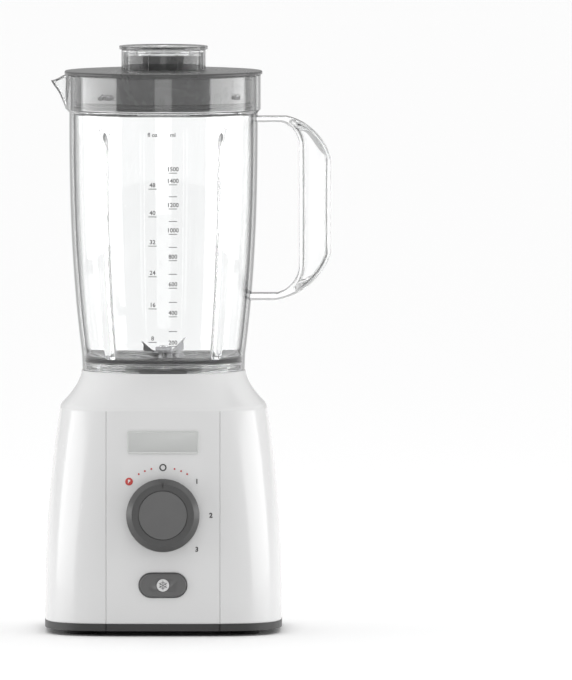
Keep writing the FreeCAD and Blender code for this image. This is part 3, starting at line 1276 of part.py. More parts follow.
# ---------------------------------------------------------------- lid and filler cap
def lid():
    """The push-in lid: a low dome, a skirt that carries the seal and a neck for the filler cap."""
    skirt_bottom = JUG_TOP - LID_SKIRT_DEPTH
    neck_top = LID_TOP + FILLER_NECK_HEIGHT
    bore = FILLER_NECK_RADIUS - FILLER_NECK_WALL
    seal_top = skirt_bottom + LID_SEAL_HEIGHT
    return turned(
        [
            (bore, JUG_TOP),
            (LID_SKIRT_RADIUS - LID_SKIRT_WALL, JUG_TOP),
            (LID_SKIRT_RADIUS - LID_SKIRT_WALL, skirt_bottom),
            (LID_SKIRT_RADIUS, skirt_bottom),
            (LID_SKIRT_RADIUS, seal_top),
            (LID_SKIRT_RADIUS + LID_SEAL_WIDTH - 0.6, seal_top),
            (LID_SKIRT_RADIUS + LID_SEAL_WIDTH - 0.6, JUG_TOP),
            (LID_RADIUS - 0.8, JUG_TOP),
            (LID_RADIUS, JUG_TOP + 0.8),
            (LID_RADIUS, JUG_TOP + LID_EDGE_THICKNESS - 0.8),
            (LID_RADIUS - 1.2, JUG_TOP + LID_EDGE_THICKNESS),
            (CAP_RIM_RADIUS + 3, LID_TOP),
            (FILLER_NECK_RADIUS, LID_TOP),
            (FILLER_NECK_RADIUS, neck_top),
            (bore, neck_top),
        ]
    )


def lid_seal():
    """The soft ring at the foot of the lid's skirt."""
    bottom = JUG_TOP - LID_SKIRT_DEPTH
    return tube(LID_SKIRT_RADIUS + LID_SEAL_WIDTH, LID_SKIRT_RADIUS, bottom, bottom + LID_SEAL_HEIGHT)


def filler_cap():
    """The clear cap: a skirt over the lid's neck, a rim to grip and a small measuring cup inside."""
    plate_top = CAP_PLATE_BOTTOM + CAP_PLATE
    rim_top = plate_top + CAP_RIM_HEIGHT - 0.7
    cup_bottom = LID_TOP - CAP_CUP_DEPTH
    body = turned(
        [
            (0, cup_bottom),
            (CAP_CUP_RADIUS, cup_bottom),
            (CAP_CUP_RADIUS, CAP_PLATE_BOTTOM),
            (CAP_SKIRT_RADIUS - CAP_WALL, CAP_PLATE_BOTTOM),
            (CAP_SKIRT_RADIUS - CAP_WALL, LID_TOP),
            (CAP_SKIRT_RADIUS, LID_TOP),
            (CAP_SKIRT_RADIUS, plate_top - 0.7),
            (CAP_RIM_RADIUS, plate_top - 0.7),
            (CAP_RIM_RADIUS, rim_top),
            (CAP_RIM_RADIUS - CAP_RIM_WALL, rim_top),
            (CAP_RIM_RADIUS - CAP_RIM_WALL - 1.5, plate_top),
            (CAP_CUP_RADIUS - CAP_WALL, plate_top),
            (CAP_CUP_RADIUS - CAP_WALL, cup_bottom + CAP_WALL),
            (0, cup_bottom + CAP_WALL),
        ]
    )
    rib_inner = FILLER_NECK_RADIUS + FIT_CLEARANCE
    half = CAP_RIB_WIDTH / 2.0
    rib = block(rib_inner, CAP_SKIRT_RADIUS - 0.5, -half, half, LID_TOP, CAP_PLATE_BOTTOM + 0.5)
    return fused([body] + around(rib, CAP_RIBS, 10))


# ---------------------------------------------------------------- all pieces
PIECES = {
    "outer_casing": outer_casing,
    "jug_seat": jug_seat,
    "splash_seal": splash_seal,
    "base_plate": base_plate,
    "rubber_feet": rubber_feet,
    "base_screws": base_screws,
    "badge_plate": badge_plate,
    "dial_marks": dial_marks,
    "cord_inlet_grommet": cord_inlet_grommet,
    "motor_lower_bracket": motor_lower_bracket,
    "motor_upper_bracket": lambda: bracket(UPPER_BRACKET_HEIGHT, STATOR_WIDTH, STATOR_DEPTH),
    "lower_bush": lambda: bush(LOWER_BRACKET_HEIGHT),
    "upper_bush": lambda: bush(UPPER_BRACKET_HEIGHT),
    "stator_core": stator_core,
    "field_coils": field_coils,
    "motor_bolts": motor_bolts,
    "motor_dampers": motor_dampers,
    "brush_holders": brush_holders,
    "carbon_brushes": carbon_brushes,
    "fan_shroud": fan_shroud,
    "rotary_switch": rotary_switch,
    "switch_nut": switch_nut,
    "ice_switch": ice_switch,
    "switch_carrier": switch_carrier,
    "control_board": control_board,
    "terminal_block": terminal_block,
    "interlock_switch": interlock_switch,
    "motor_shaft": motor_shaft,
    "armature_core": armature_core,
    "armature_winding": armature_winding,
    "commutator": commutator,
    "cooling_fan": cooling_fan,
    "drive_coupling": drive_coupling,
    "jug": jug,
    "blade_holder": blade_holder,
    "blade_seal": blade_seal,
    "blade_bush": blade_bush,
    "shaft_seal": shaft_seal,
    "blade_shaft": blade_shaft,
    "lower_blade": lower_blade,
    "upper_blade": upper_blade,
    "blade_nut": blade_nut,
    "driven_coupling": driven_coupling,
    "lid": lid,
    "lid_seal": lid_seal,
    "filler_cap": filler_cap,
    "speed_knob": speed_knob,
    "knob_insert": knob_insert,
    "switch_spindle": switch_spindle,
    "ice_button": ice_button,
    "ice_icon": ice_icon,
    "interlock_plunger": interlock_plunger,
    "interlock_spring": interlock_spring,
}

os.makedirs("parts", exist_ok=True)
for name, make in PIECES.items():
    shape = make()
    closed = all(solid.isClosed() for solid in shape.Solids)
    state = "ok" if shape.isValid() and shape.Solids and closed else "BROKEN"
    print(f"{name:22s} {state} solids {len(shape.Solids):2d} volume {shape.Volume:10.1f}")
    shape.exportStep(f"parts/{name}.step")
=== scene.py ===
import logging
import math
from dataclasses import dataclass, field
from enum import Enum
from typing import Callable, Iterable, Sequence

import bmesh
import bpy
from mathutils import Euler, Matrix, Vector


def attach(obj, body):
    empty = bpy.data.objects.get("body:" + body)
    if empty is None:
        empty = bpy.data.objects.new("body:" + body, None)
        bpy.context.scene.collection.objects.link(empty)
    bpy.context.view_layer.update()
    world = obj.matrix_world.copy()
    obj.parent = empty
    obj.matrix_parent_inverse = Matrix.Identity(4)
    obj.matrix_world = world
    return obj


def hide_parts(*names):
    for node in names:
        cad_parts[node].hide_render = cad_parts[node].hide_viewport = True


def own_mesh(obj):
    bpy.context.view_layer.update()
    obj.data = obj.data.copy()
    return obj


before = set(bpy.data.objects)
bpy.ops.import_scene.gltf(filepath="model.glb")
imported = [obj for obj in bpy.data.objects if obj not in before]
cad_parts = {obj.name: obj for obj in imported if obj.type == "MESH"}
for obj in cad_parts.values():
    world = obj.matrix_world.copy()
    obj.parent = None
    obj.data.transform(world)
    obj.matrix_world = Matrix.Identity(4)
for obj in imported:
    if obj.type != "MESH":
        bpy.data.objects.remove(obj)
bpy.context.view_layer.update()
LOG = logging.getLogger("blender")
MM = 0.001
TAU = 2 * math.pi
Pair = tuple[float, float]
Triple = tuple[float, float, float]
Piece = bpy.types.Object
Node = bpy.types.Node
Tree = bpy.types.NodeTree
Socket = bpy.types.NodeSocket


# ------------------------------------------------------------------ small mesh tools
def to_metres(x: float, y: float, z: float) -> Vector:
    """A point given in millimetres, in metres."""
    return Vector((x * MM, y * MM, z * MM))


def curve_between(low: float, high: float, count: int) -> list[float]:
    """Evenly spaced values from low to high, both ends included."""
    return [low + (high - low) * i / (count - 1) for i in range(count)]


def smooth_step(t: float) -> float:
    """A soft ramp from 0 to 1 as t goes from 0 to 1."""
    t = min(max(t, 0.0), 1.0)
    return t * t * (3 - 2 * t)


def rounded(corners: Sequence[Triple], steps: int = 5, closed: bool = False) -> list[Pair]:
    """Rounds the corners of a flat outline.

    Args:
        corners: (across, up, radius) for each corner; a radius of 0 keeps it sharp.
        steps: points on each rounded corner.
        closed: whether the last corner joins the first.

    Returns:
        The outline's points.
    """
    found: list[Pair] = []
    count = len(corners)
    for i, (x, y, radius) in enumerate(corners):
        here = Vector((x, y))
        if radius <= 0 or (not closed and i in (0, count - 1)):
            found.append((x, y))
            continue
        before = Vector(corners[i - 1][:2]) - here
        after = Vector(corners[(i + 1) % count][:2]) - here
        turn = before.angle(after, math.pi)
        reach = min(radius / math.tan(turn / 2), 0.49 * before.length, 0.49 * after.length)
        start = here + before.normalized() * reach
        end = here + after.normalized() * reach
        for k in range(steps + 1):
            t = k / steps
            point = start * (1 - t) ** 2 + here * 2 * t * (1 - t) + end * t**2
            found.append((point.x, point.y))
    return found


def arc_through(a: Pair, b: Pair, c: Pair, count: int) -> list[Pair]:
    """Points on the circle through three points, from a past b to c."""
    (ax, ay), (bx, by), (cx, cy) = a, b, c
    d = 2 * (ax * (by - cy) + bx * (cy - ay) + cx * (ay - by))
    sa, sb, sc = ax**2 + ay**2, bx**2 + by**2, cx**2 + cy**2
    ox = (sa * (by - cy) + sb * (cy - ay) + sc * (ay - by)) / d
    oy = (sa * (cx - bx) + sb * (ax - cx) + sc * (bx - ax)) / d
    radius = math.hypot(ax - ox, ay - oy)
    first = math.atan2(ay - oy, ax - ox)
    middle = math.atan2(by - oy, bx - ox)
    last = math.atan2(cy - oy, cx - ox)
    sweep = (last - first) % TAU
    if (middle - first) % TAU > sweep:
        sweep -= TAU
    return [
        (
            ox + radius * math.cos(first + sweep * i / (count - 1)),
            oy + radius * math.sin(first + sweep * i / (count - 1))
        )
        for i in range(count)
    ]


def new_piece(
    name: str, points: Iterable[Vector], faces: Iterable[Sequence[int]], smooth_angle: float = 35.0
) -> Piece:
    """A mesh object in the scene, with shared points merged, normals outward and smooth shading.

    Args:
        name: the piece's name.
        points: its points in metres, in the row frame.
        faces: its faces as point numbers.
        smooth_angle: edges that turn by more than this many degrees stay sharp.

    Returns:
        The new object, at the origin.
    """
    mesh = bpy.data.meshes.new(name)
    mesh.from_pydata([tuple(p) for p in points], [], [tuple(f) for f in faces])
    tidy_mesh(mesh)
    piece = bpy.data.objects.new(name, mesh)
    bpy.context.scene.collection.objects.link(piece)
    shade(piece, smooth_angle)
    return piece


def tidy_mesh(mesh: bpy.types.Mesh) -> None:
    """Merges doubled points, drops collapsed faces and turns all faces outwards."""
    work = bmesh.new()
    work.from_mesh(mesh)
    bmesh.ops.remove_doubles(work, verts=work.verts, dist=2e-6)
    bmesh.ops.dissolve_degenerate(work, edges=work.edges, dist=1e-6)
    bmesh.ops.recalc_face_normals(work, faces=work.faces)
    work.to_mesh(mesh)
    work.free()


def shade(piece: Piece, smooth_angle: float) -> None:
    """Smooth shading that keeps edges sharper than an angle."""
    piece.data.polygons.foreach_set("use_smooth", [True] * len(piece.data.polygons))
    piece.data.set_sharp_from_angle(angle=math.radians(smooth_angle))
    piece.data.update()


def grid_faces(rows: int, columns: int, start: int = 0, wrap_rows: bool = False) -> list[tuple[int, ...]]:
    """Quads over rows of points that each close on themselves."""
    faces = []
    for r in range(rows if wrap_rows else rows - 1):
        low = start + r * columns
        high = start + ((r + 1) % rows) * columns
        for c in range(columns):
            d = (c + 1) % columns
            faces.append((low + c, low + d, high + d, high + c))
    return faces


def turned(name: str, profile: Sequence[Pair], segments: int = 128, smooth_angle: float = 35.0) -> Piece:
    """A piece turned about the drive axis from a closed (radius, height) outline in millimetres."""
    points = []
    for radius, height in profile:
        for i in range(segments):
            a = TAU * i / segments
            points.append(to_metres(radius * math.cos(a), radius * math.sin(a), height))
    return new_piece(name, points, grid_faces(len(profile), segments, 0, True), smooth_angle)


def tube_piece(name: str, rings: Sequence[Sequence[Vector]], smooth_angle: float = 35.0) -> Piece:
    """A closed piece skinned over rings of points, with a flat cap at each end."""
    count = len(rings[0])
    points = [p for ring in rings for p in ring]
    faces: list[Sequence[int]] = list(grid_faces(len(rings), count))
    faces.append(list(range(count))[::-1])
    faces.append([(len(rings) - 1) * count + i for i in range(count)])
    return new_piece(name, points, faces, smooth_angle)


def prism(name: str, outline: Sequence[Pair], depths: Sequence[Pair], place: Matrix) -> Piece:
    """A plate with an outline across the panel, drawn in or out at given depths.

    Args:
        name: the piece's name.
        outline: (across, up) points in millimetres.
        depths: (distance inwards, inset) pairs, from the outermost layer to the innermost.
        place: the panel's own frame.

    Returns:
        The plate.
    """
    rings = []
    for inwards, inset in depths:
        ring = []
        for i, (x, z) in enumerate(outline):
            before = Vector(outline[i - 1])
            after = Vector(outline[(i + 1) % len(outline)])
            along = (after - before).normalized()
            ring.append(place @ to_metres(x - along.y * inset, inwards, z + along.x * inset))
        rings.append(ring)
    return tube_piece(name, rings)


def baked(piece: Piece) -> Piece:
    """Applies a piece's modifiers and leaves it a plain mesh."""
    graph = bpy.context.evaluated_depsgraph_get()
    mesh = bpy.data.meshes.new_from_object(
        piece.evaluated_get(graph), preserve_all_data_layers=True, depsgraph=graph
    )
    piece.modifiers.clear()
    piece.data = mesh
    mesh.name = piece.name
    return piece


def joined(name: str, pieces: Sequence[Piece]) -> Piece:
    """One object holding several separate meshes."""
    work = bmesh.new()
    for piece in pieces:
        work.from_mesh(piece.data)
    mesh = bpy.data.meshes.new(name)
    work.to_mesh(mesh)
    work.free()
    for material in pieces[0].data.materials:
        mesh.materials.append(material)
    for piece in pieces:
        bpy.data.objects.remove(piece)
    result = bpy.data.objects.new(name, mesh)
    bpy.context.scene.collection.objects.link(result)
    return result


class Join(Enum):
    """How two solids are brought together."""

    CUT = "DIFFERENCE"
    FUSE = "UNION"


def combined(piece: Piece, tool: Piece, how: Join) -> Piece:
    """Cuts a tool's shape out of a piece, or fuses the two; the tool is used up."""
    change = piece.modifiers.new("combine", "BOOLEAN")
    change.operation = how.value
    change.solver = "EXACT"
    change.object = tool
    baked(piece)
    bpy.data.objects.remove(tool)
    return piece


# ------------------------------------------------------------------ repeating by Geometry Nodes
class Repeater:
    """A Geometry Nodes tree that sets one shape on every point of a mesh, turned by its attribute."""

    def __init__(self) -> None:
        """Builds the tree once."""
        tree = bpy.data.node_groups.new("Repeat on points", "GeometryNodeTree")
        tree.interface.new_socket("Geometry", in_out="INPUT", socket_type="NodeSocketGeometry")
        shape = tree.interface.new_socket("Shape", in_out="INPUT", socket_type="NodeSocketObject")
        size = tree.interface.new_socket("Size", in_out="INPUT", socket_type="NodeSocketFloat")
        finish = tree.interface.new_socket("Finish", in_out="INPUT", socket_type="NodeSocketMaterial")
        tree.interface.new_socket("Geometry", in_out="OUTPUT", socket_type="NodeSocketGeometry")
        size.default_value = 1.0
        entry = tree.nodes.new("NodeGroupInput")
        leave = tree.nodes.new("NodeGroupOutput")
        info = tree.nodes.new("GeometryNodeObjectInfo")
        turn = tree.nodes.new("GeometryNodeInputNamedAttribute")
        turn.data_type = "FLOAT_VECTOR"
        turn.inputs["Name"].default_value = "turn"
        place = tree.nodes.new("GeometryNodeInstanceOnPoints")
        real = tree.nodes.new("GeometryNodeRealizeInstances")
        dress = tree.nodes.new("GeometryNodeSetMaterial")
        link = tree.links.new
        link(entry.outputs["Shape"], info.inputs["Object"])
        link(entry.outputs["Geometry"], place.inputs["Points"])
        link(info.outputs["Geometry"], place.inputs["Instance"])
        link(turn.outputs["Attribute"], place.inputs["Rotation"])
        link(entry.outputs["Size"], place.inputs["Scale"])
        link(place.outputs["Instances"], real.inputs["Geometry"])
        link(real.outputs["Geometry"], dress.inputs["Geometry"])
        link(entry.outputs["Finish"], dress.inputs["Material"])
        link(dress.outputs["Geometry"], leave.inputs["Geometry"])
        self.tree = tree
        self.keys = {"Shape": shape.identifier, "Size": size.identifier, "Finish": finish.identifier}

    def spread(
        self, name: str, shape: Piece, places: Sequence[tuple[Vector, Triple]], finish: bpy.types.Material
    ) -> Piece:
        """Copies a shape to many places and returns them as one plain mesh.

        Args:
            name: the new piece's name.
            shape: what is repeated, modelled about the origin; it is used up.
            places: each copy's place in metres and its turn as Euler angles.
            finish: the copies' material.

        Returns:
            The copies, as one object at the origin.
        """
        mesh = bpy.data.meshes.new(name)
        mesh.from_pydata([tuple(place) for place, _ in places], [], [])
        turns = mesh.attributes.new("turn", "FLOAT_VECTOR", "POINT")
        turns.data.foreach_set("vector", [v for _, turn in places for v in turn])
        piece = bpy.data.objects.new(name, mesh)
        bpy.context.scene.collection.objects.link(piece)
        change = piece.modifiers.new("repeat", "NODES")
        change.node_group = self.tree
        change[self.keys["Shape"]] = shape
        change[self.keys["Size"]] = 1.0
        change[self.keys["Finish"]] = finish
        bpy.context.view_layer.update()
        baked(piece)
        bpy.data.objects.remove(shape)
        left = piece.data.attributes.get("turn")
        if left:
            piece.data.attributes.remove(left)
        shade(piece, 35)
        return piece


# ------------------------------------------------------------------ shared shader groups
class Recipe:
    """Adds and links nodes in one tree, so that materials read as short recipes."""

    def __init__(self, tree: Tree) -> None:
        """Starts on an empty tree."""
        self.tree = tree
        self.tree.nodes.clear()

    def add(self, kind: str, **settings: object) -> Node:
        """Adds a node; settings that name an input set its value, and the others set the node itself."""
        node = self.tree.nodes.new(kind)
        for key, value in settings.items():
            label = key.replace("_", " ").title()
            if label in node.inputs and not hasattr(node, key):
                node.inputs[label].default_value = value
            else:
                setattr(node, key, value)
        return node

    def link(self, source: Socket, target: Socket) -> None:
        """Joins two sockets."""
        self.tree.links.new(source, target)

    def maths(self, operation: str, first: object, second: object = 0.0) -> Socket:
        """A Math node's result from two sockets or numbers."""
        node = self.tree.nodes.new("ShaderNodeMath")
        node.operation = operation
        for socket, value in zip(node.inputs, (first, second)):
            if isinstance(value, Socket):
                self.link(value, socket)
            else:
                socket.default_value = value
        return node.outputs[0]

    def ramp(
        self, source: Socket, low: float, high: float, to_low: float = 0.0, to_high: float = 1.0
    ) -> Socket:
        """Maps a value from one range to another, held at the ends."""
        node = self.tree.nodes.new("ShaderNodeMapRange")
        node.inputs["From Min"].default_value = low
        node.inputs["From Max"].default_value = high
        node.inputs["To Min"].default_value = to_low
        node.inputs["To Max"].default_value = to_high
        self.link(source, node.inputs["Value"])
        return node.outputs["Result"]


def shader_group(name: str, numbers: dict[str, float], results: Sequence[str]) -> tuple[Recipe, Node, Node]:
    """An empty shader node group with a vector input, number inputs and number outputs."""
    tree = bpy.data.node_groups.new(name, "ShaderNodeTree")
    tree.interface.new_socket("Vector", in_out="INPUT", socket_type="NodeSocketVector")
    for key, value in numbers.items():
        tree.interface.new_socket(key, in_out="INPUT", socket_type="NodeSocketFloat").default_value = value
    for key in results:
        tree.interface.new_socket(key, in_out="OUTPUT", socket_type="NodeSocketFloat")
    recipe = Recipe(tree)
    return recipe, recipe.add("NodeGroupInput"), recipe.add("NodeGroupOutput")


def moulded_skin() -> Tree:
    """A moulded surface: fine texture for the bump, slow tone change and faint handling smears."""
    recipe, entry, leave = shader_group(
        "Moulded skin", {"Grain Scale": 900.0, "Flow Scale": 9.0, "Smear Scale": 26.0},
        ("Height", "Tone", "Smear")
    )
    grain = recipe.add("ShaderNodeTexNoise", detail=3.0, roughness=0.6)
    flow = recipe.add("ShaderNodeTexNoise", detail=2.0, roughness=0.5)
    smear = recipe.add("ShaderNodeTexNoise", detail=5.0, roughness=0.62, distortion=0.9)
    for node, key in ((grain, "Grain Scale"), (flow, "Flow Scale"), (smear, "Smear Scale")):
        recipe.link(entry.outputs["Vector"], node.inputs["Vector"])
        recipe.link(entry.outputs[key], node.inputs["Scale"])
    recipe.link(grain.outputs["Fac"], leave.inputs["Height"])
    recipe.link(flow.outputs["Fac"], leave.inputs["Tone"])
    recipe.link(recipe.ramp(smear.outputs["Fac"], 0.48, 0.72), leave.inputs["Smear"])
    return recipe.tree


def fine_scratches() -> Tree:
    """Hairline scratches in two directions, for steel, clear plastic and handled faces."""
    recipe, entry, leave = shader_group("Fine scratches", {"Scale": 60.0, "Amount": 0.5}, ("Scratch",))
    masks = []
    for stretch in ((1.0, 14.0, 1.0), (13.0, 1.0, 2.0)):
        scaled = recipe.add("ShaderNodeVectorMath", operation="MULTIPLY")
        scaled.inputs[1].default_value = stretch
        recipe.link(entry.outputs["Vector"], scaled.inputs[0])
        noise = recipe.add("ShaderNodeTexNoise", detail=2.0, roughness=0.5, distortion=0.3)
        recipe.link(scaled.outputs["Vector"], noise.inputs["Vector"])
        recipe.link(entry.outputs["Scale"], noise.inputs["Scale"])
        masks.append(recipe.ramp(noise.outputs["Fac"], 0.66, 0.74))
    both = recipe.maths("MAXIMUM", masks[0], masks[1])
    recipe.link(recipe.maths("MULTIPLY", both, entry.outputs["Amount"]), leave.inputs["Scratch"])
    return recipe.tree


def turning_lines() -> Tree:
    """Concentric lines about the vector's Z axis, as a lathe or a spun disc leaves."""
    recipe, entry, leave = shader_group("Turning lines", {"Scale": 1600.0, "Depth": 1.0}, ("Height", "Tone"))
    wave = recipe.add("ShaderNodeTexWave", wave_type="RINGS", rings_direction="Z", distortion=0.6, detail=2.0)
    recipe.link(entry.outputs["Vector"], wave.inputs["Vector"])
    recipe.link(entry.outputs["Scale"], wave.inputs["Scale"])
    noise = recipe.add("ShaderNodeTexNoise", scale=40.0, detail=2.0)
    recipe.link(entry.outputs["Vector"], noise.inputs["Vector"])
    recipe.link(recipe.maths("MULTIPLY", wave.outputs["Fac"], entry.outputs["Depth"]), leave.inputs["Height"])
    recipe.link(noise.outputs["Fac"], leave.inputs["Tone"])
    return recipe.tree


def layer_lines() -> Tree:
    """Even lines across the vector's Z axis, for stacked laminations and wound wire."""
    recipe, entry, leave = shader_group("Layer lines", {"Pitch": 0.001, "Waver": 0.0}, ("Height",))
    wave = recipe.add("ShaderNodeTexWave", wave_type="BANDS", bands_direction="Z", detail=0.0)
    recipe.link(entry.outputs["Vector"], wave.inputs["Vector"])
    recipe.link(recipe.maths("DIVIDE", 0.31416, entry.outputs["Pitch"]), wave.inputs["Scale"])
    recipe.link(entry.outputs["Waver"], wave.inputs["Distortion"])
    recipe.link(wave.outputs["Fac"], leave.inputs["Height"])
    return recipe.tree


@dataclass
class Workshop:
    """The shared groups and the repeater that the whole scene draws on."""

    skin: Tree = field(default_factory=moulded_skin)
    scratches: Tree = field(default_factory=fine_scratches)
    turning: Tree = field(default_factory=turning_lines)
    layers: Tree = field(default_factory=layer_lines)
    repeater: Repeater = field(default_factory=Repeater)


SHOP = Workshop()
Colour = Triple


def grey(level: float) -> Colour:
    """A neutral colour from its screen brightness."""
    linear = level / 12.92 if level <= 0.04045 else ((level + 0.055) / 1.055) ** 2.4
    return (linear, linear, linear)


def screen_colour(red: float, green: float, blue: float) -> Colour:
    """A colour from its screen brightness in each channel."""
    return (grey(red)[0], grey(green)[0], grey(blue)[0])


# ------------------------------------------------------------------ finishes
class Finish:
    """A surface finish that builds its material once and gives it out again."""

    def material(self) -> bpy.types.Material:
        """The finish's material."""
        name = type(self).__name__ + " " + self.label
        found = bpy.data.materials.get(name)
        if found:
            return found
        made = bpy.data.materials.new(name)
        made.use_nodes = True
        recipe = Recipe(made.node_tree)
        shader = recipe.add("ShaderNodeBsdfPrincipled")
        leave = recipe.add("ShaderNodeOutputMaterial")
        recipe.link(shader.outputs["BSDF"], leave.inputs["Surface"])
        place = recipe.add("ShaderNodeTexCoord").outputs["Object"]
        self.mix(recipe, shader, place)
        return made

    def mix(self, recipe: Recipe, shader: Node, place: Socket) -> None:
        """Adds the finish's own nodes."""
        raise NotImplementedError

    @staticmethod
    def group(recipe: Recipe, tree: Tree, place: Socket, **values: float) -> Node:
        """Places a shared group and sets its named inputs."""
        node = recipe.add("ShaderNodeGroup")
        node.node_tree = tree
        recipe.link(place, node.inputs["Vector"])
        for key, value in values.items():
            node.inputs[key.replace("_", " ").title()].default_value = value
        return node

    @staticmethod
    def bump(recipe: Recipe, shader: Node, height: Socket, strength: float, distance: float) -> None:
        """Feeds a height to the shader's normal."""
        node = recipe.add("ShaderNodeBump", strength=strength, distance=distance)
        recipe.link(height, node.inputs["Height"])
        recipe.link(node.outputs["Normal"], shader.inputs["Normal"])

    @staticmethod
    def tinted(recipe: Recipe, shader: Node, mask: Socket, low: Colour, high: Colour) -> None:
        """Blends the base colour between two colours by a mask."""
        node = recipe.add("ShaderNodeMix", data_type="RGBA")
        colours = [s for s in node.inputs if s.type == "RGBA"]
        colours[0].default_value = (*low, 1)
        colours[1].default_value = (*high, 1)
        recipe.link(mask, node.inputs["Factor"])
        result = [s for s in node.outputs if s.type == "RGBA"][0]
        recipe.link(result, shader.inputs["Base Color"])


def shaded(colour: Colour, factor: float) -> Colour:
    """A colour made lighter or darker."""
    return tuple(min(1.0, c * factor) for c in colour)


@dataclass(frozen=True)
class Moulding(Finish):
    """An opaque moulded plastic or rubber.

    label names it; colour is linear; gloss runs from 0 (matt) to 1; grain is the bump's depth in
    micrometres; coat is the strength of the clear shine over it; grain_scale is the grain's frequency.
    """

    label: str
    colour: Colour
    roughness: float = 0.35
    grain: float = 4.0
    grain_scale: float = 1400.0
    coat: float = 0.0
    variation: float = 0.04
    smear: float = 0.06
    scratch: float = 0.04

    def mix(self, recipe: Recipe, shader: Node, place: Socket) -> None:
        """A grained body with slow tone change, smears and a few hairlines in its gloss."""
        skin = self.group(
            recipe, SHOP.skin, place, grain_scale=self.grain_scale, flow_scale=11.0, smear_scale=30.0
        )
        marks = self.group(recipe, SHOP.scratches, place, scale=70.0, amount=self.scratch)
        light, dark = shaded(self.colour, 1 + self.variation), shaded(self.colour, 1 - self.variation)
        self.tinted(recipe, shader, skin.outputs["Tone"], dark, light)
        worn = recipe.maths("MULTIPLY", skin.outputs["Smear"], self.smear)
        rough = recipe.maths("ADD", recipe.maths("ADD", worn, marks.outputs["Scratch"]), self.roughness)
        recipe.link(rough, shader.inputs["Roughness"])
        shader.inputs["IOR"].default_value = 1.5
        shader.inputs["Coat Weight"].default_value = self.coat
        shader.inputs["Coat Roughness"].default_value = 0.08
        self.bump(recipe, shader, skin.outputs["Height"], 0.35, self.grain * 1e-6)


@dataclass(frozen=True)
class Steel(Finish):
    """A bare or plated metal with a lightly worked surface."""

    label: str
    colour: Colour = (0.62, 0.62, 0.63)
    roughness: float = 0.24
    grain: float = 3.0
    scratch: float = 0.12
    metallic: float = 1.0

    def mix(self, recipe: Recipe, shader: Node, place: Socket) -> None:
        """A metal whose gloss is broken by fine scratches and smears."""
        skin = self.group(recipe, SHOP.skin, place, grain_scale=2200.0, flow_scale=30.0, smear_scale=60.0)
        marks = self.group(recipe, SHOP.scratches, place, scale=150.0, amount=self.scratch)
        self.tinted(
            recipe, shader, skin.outputs["Tone"], shaded(self.colour, 0.92), shaded(self.colour, 1.06)
        )
        shader.inputs["Metallic"].default_value = self.metallic
        worn = recipe.maths("MULTIPLY", skin.outputs["Smear"], 0.06)
        rough = recipe.maths("ADD", recipe.maths("ADD", worn, marks.outputs["Scratch"]), self.roughness)
        recipe.link(rough, shader.inputs["Roughness"])
        self.bump(recipe, shader, skin.outputs["Height"], 0.3, self.grain * 1e-6)


@dataclass(frozen=True)
class Layered(Finish):
    """Stacked or wound metal that shows as even lines across Z."""

    label: str
    colour: Colour
    pitch: float = 0.0005
    waver: float = 0.0
    roughness: float = 0.4

    def mix(self, recipe: Recipe, shader: Node, place: Socket) -> None:
        """Lines in colour and bump, with a slow change of tone."""
        lines = self.group(recipe, SHOP.layers, place, pitch=self.pitch, waver=self.waver)
        skin = self.group(recipe, SHOP.skin, place, grain_scale=1500.0, flow_scale=40.0, smear_scale=60.0)
        line_share = recipe.maths("MULTIPLY", lines.outputs["Height"], 0.7)
        tone_share = recipe.maths("MULTIPLY", skin.outputs["Tone"], 0.3)
        mask = recipe.maths("ADD", line_share, tone_share)
        self.tinted(recipe, shader, mask, shaded(self.colour, 0.55), self.colour)
        shader.inputs["Metallic"].default_value = 0.9
        shader.inputs["Roughness"].default_value = self.roughness
        self.bump(recipe, shader, lines.outputs["Height"], 0.6, self.pitch * 0.3)


@dataclass(frozen=True)
class Spun(Finish):
    """A disc with concentric lines about a point on the panel."""

    label: str
    colour: Colour
    centre: Vector
    lean: float
    roughness: float = 0.32
    metallic: float = 0.0
    scale: float = 190.0

    def mix(self, recipe: Recipe, shader: Node, place: Socket) -> None:
        """Fine rings in the gloss and the bump."""
        mapping = recipe.add("ShaderNodeMapping", vector_type="TEXTURE")
        mapping.inputs["Location"].default_value = self.centre
        mapping.inputs["Rotation"].default_value = (math.radians(90) + self.lean, 0, 0)
        recipe.link(place, mapping.inputs["Vector"])
        rings = self.group(recipe, SHOP.turning, mapping.outputs["Vector"], scale=self.scale, depth=1.0)
        self.tinted(recipe, shader, rings.outputs["Tone"], shaded(self.colour, 0.9), shaded(self.colour, 1.1))
        shader.inputs["Metallic"].default_value = self.metallic
        rough = recipe.maths("ADD", recipe.maths("MULTIPLY", rings.outputs["Height"], 0.12), self.roughness)
        recipe.link(rough, shader.inputs["Roughness"])
        self.bump(recipe, shader, rings.outputs["Height"], 0.25, 6e-6)


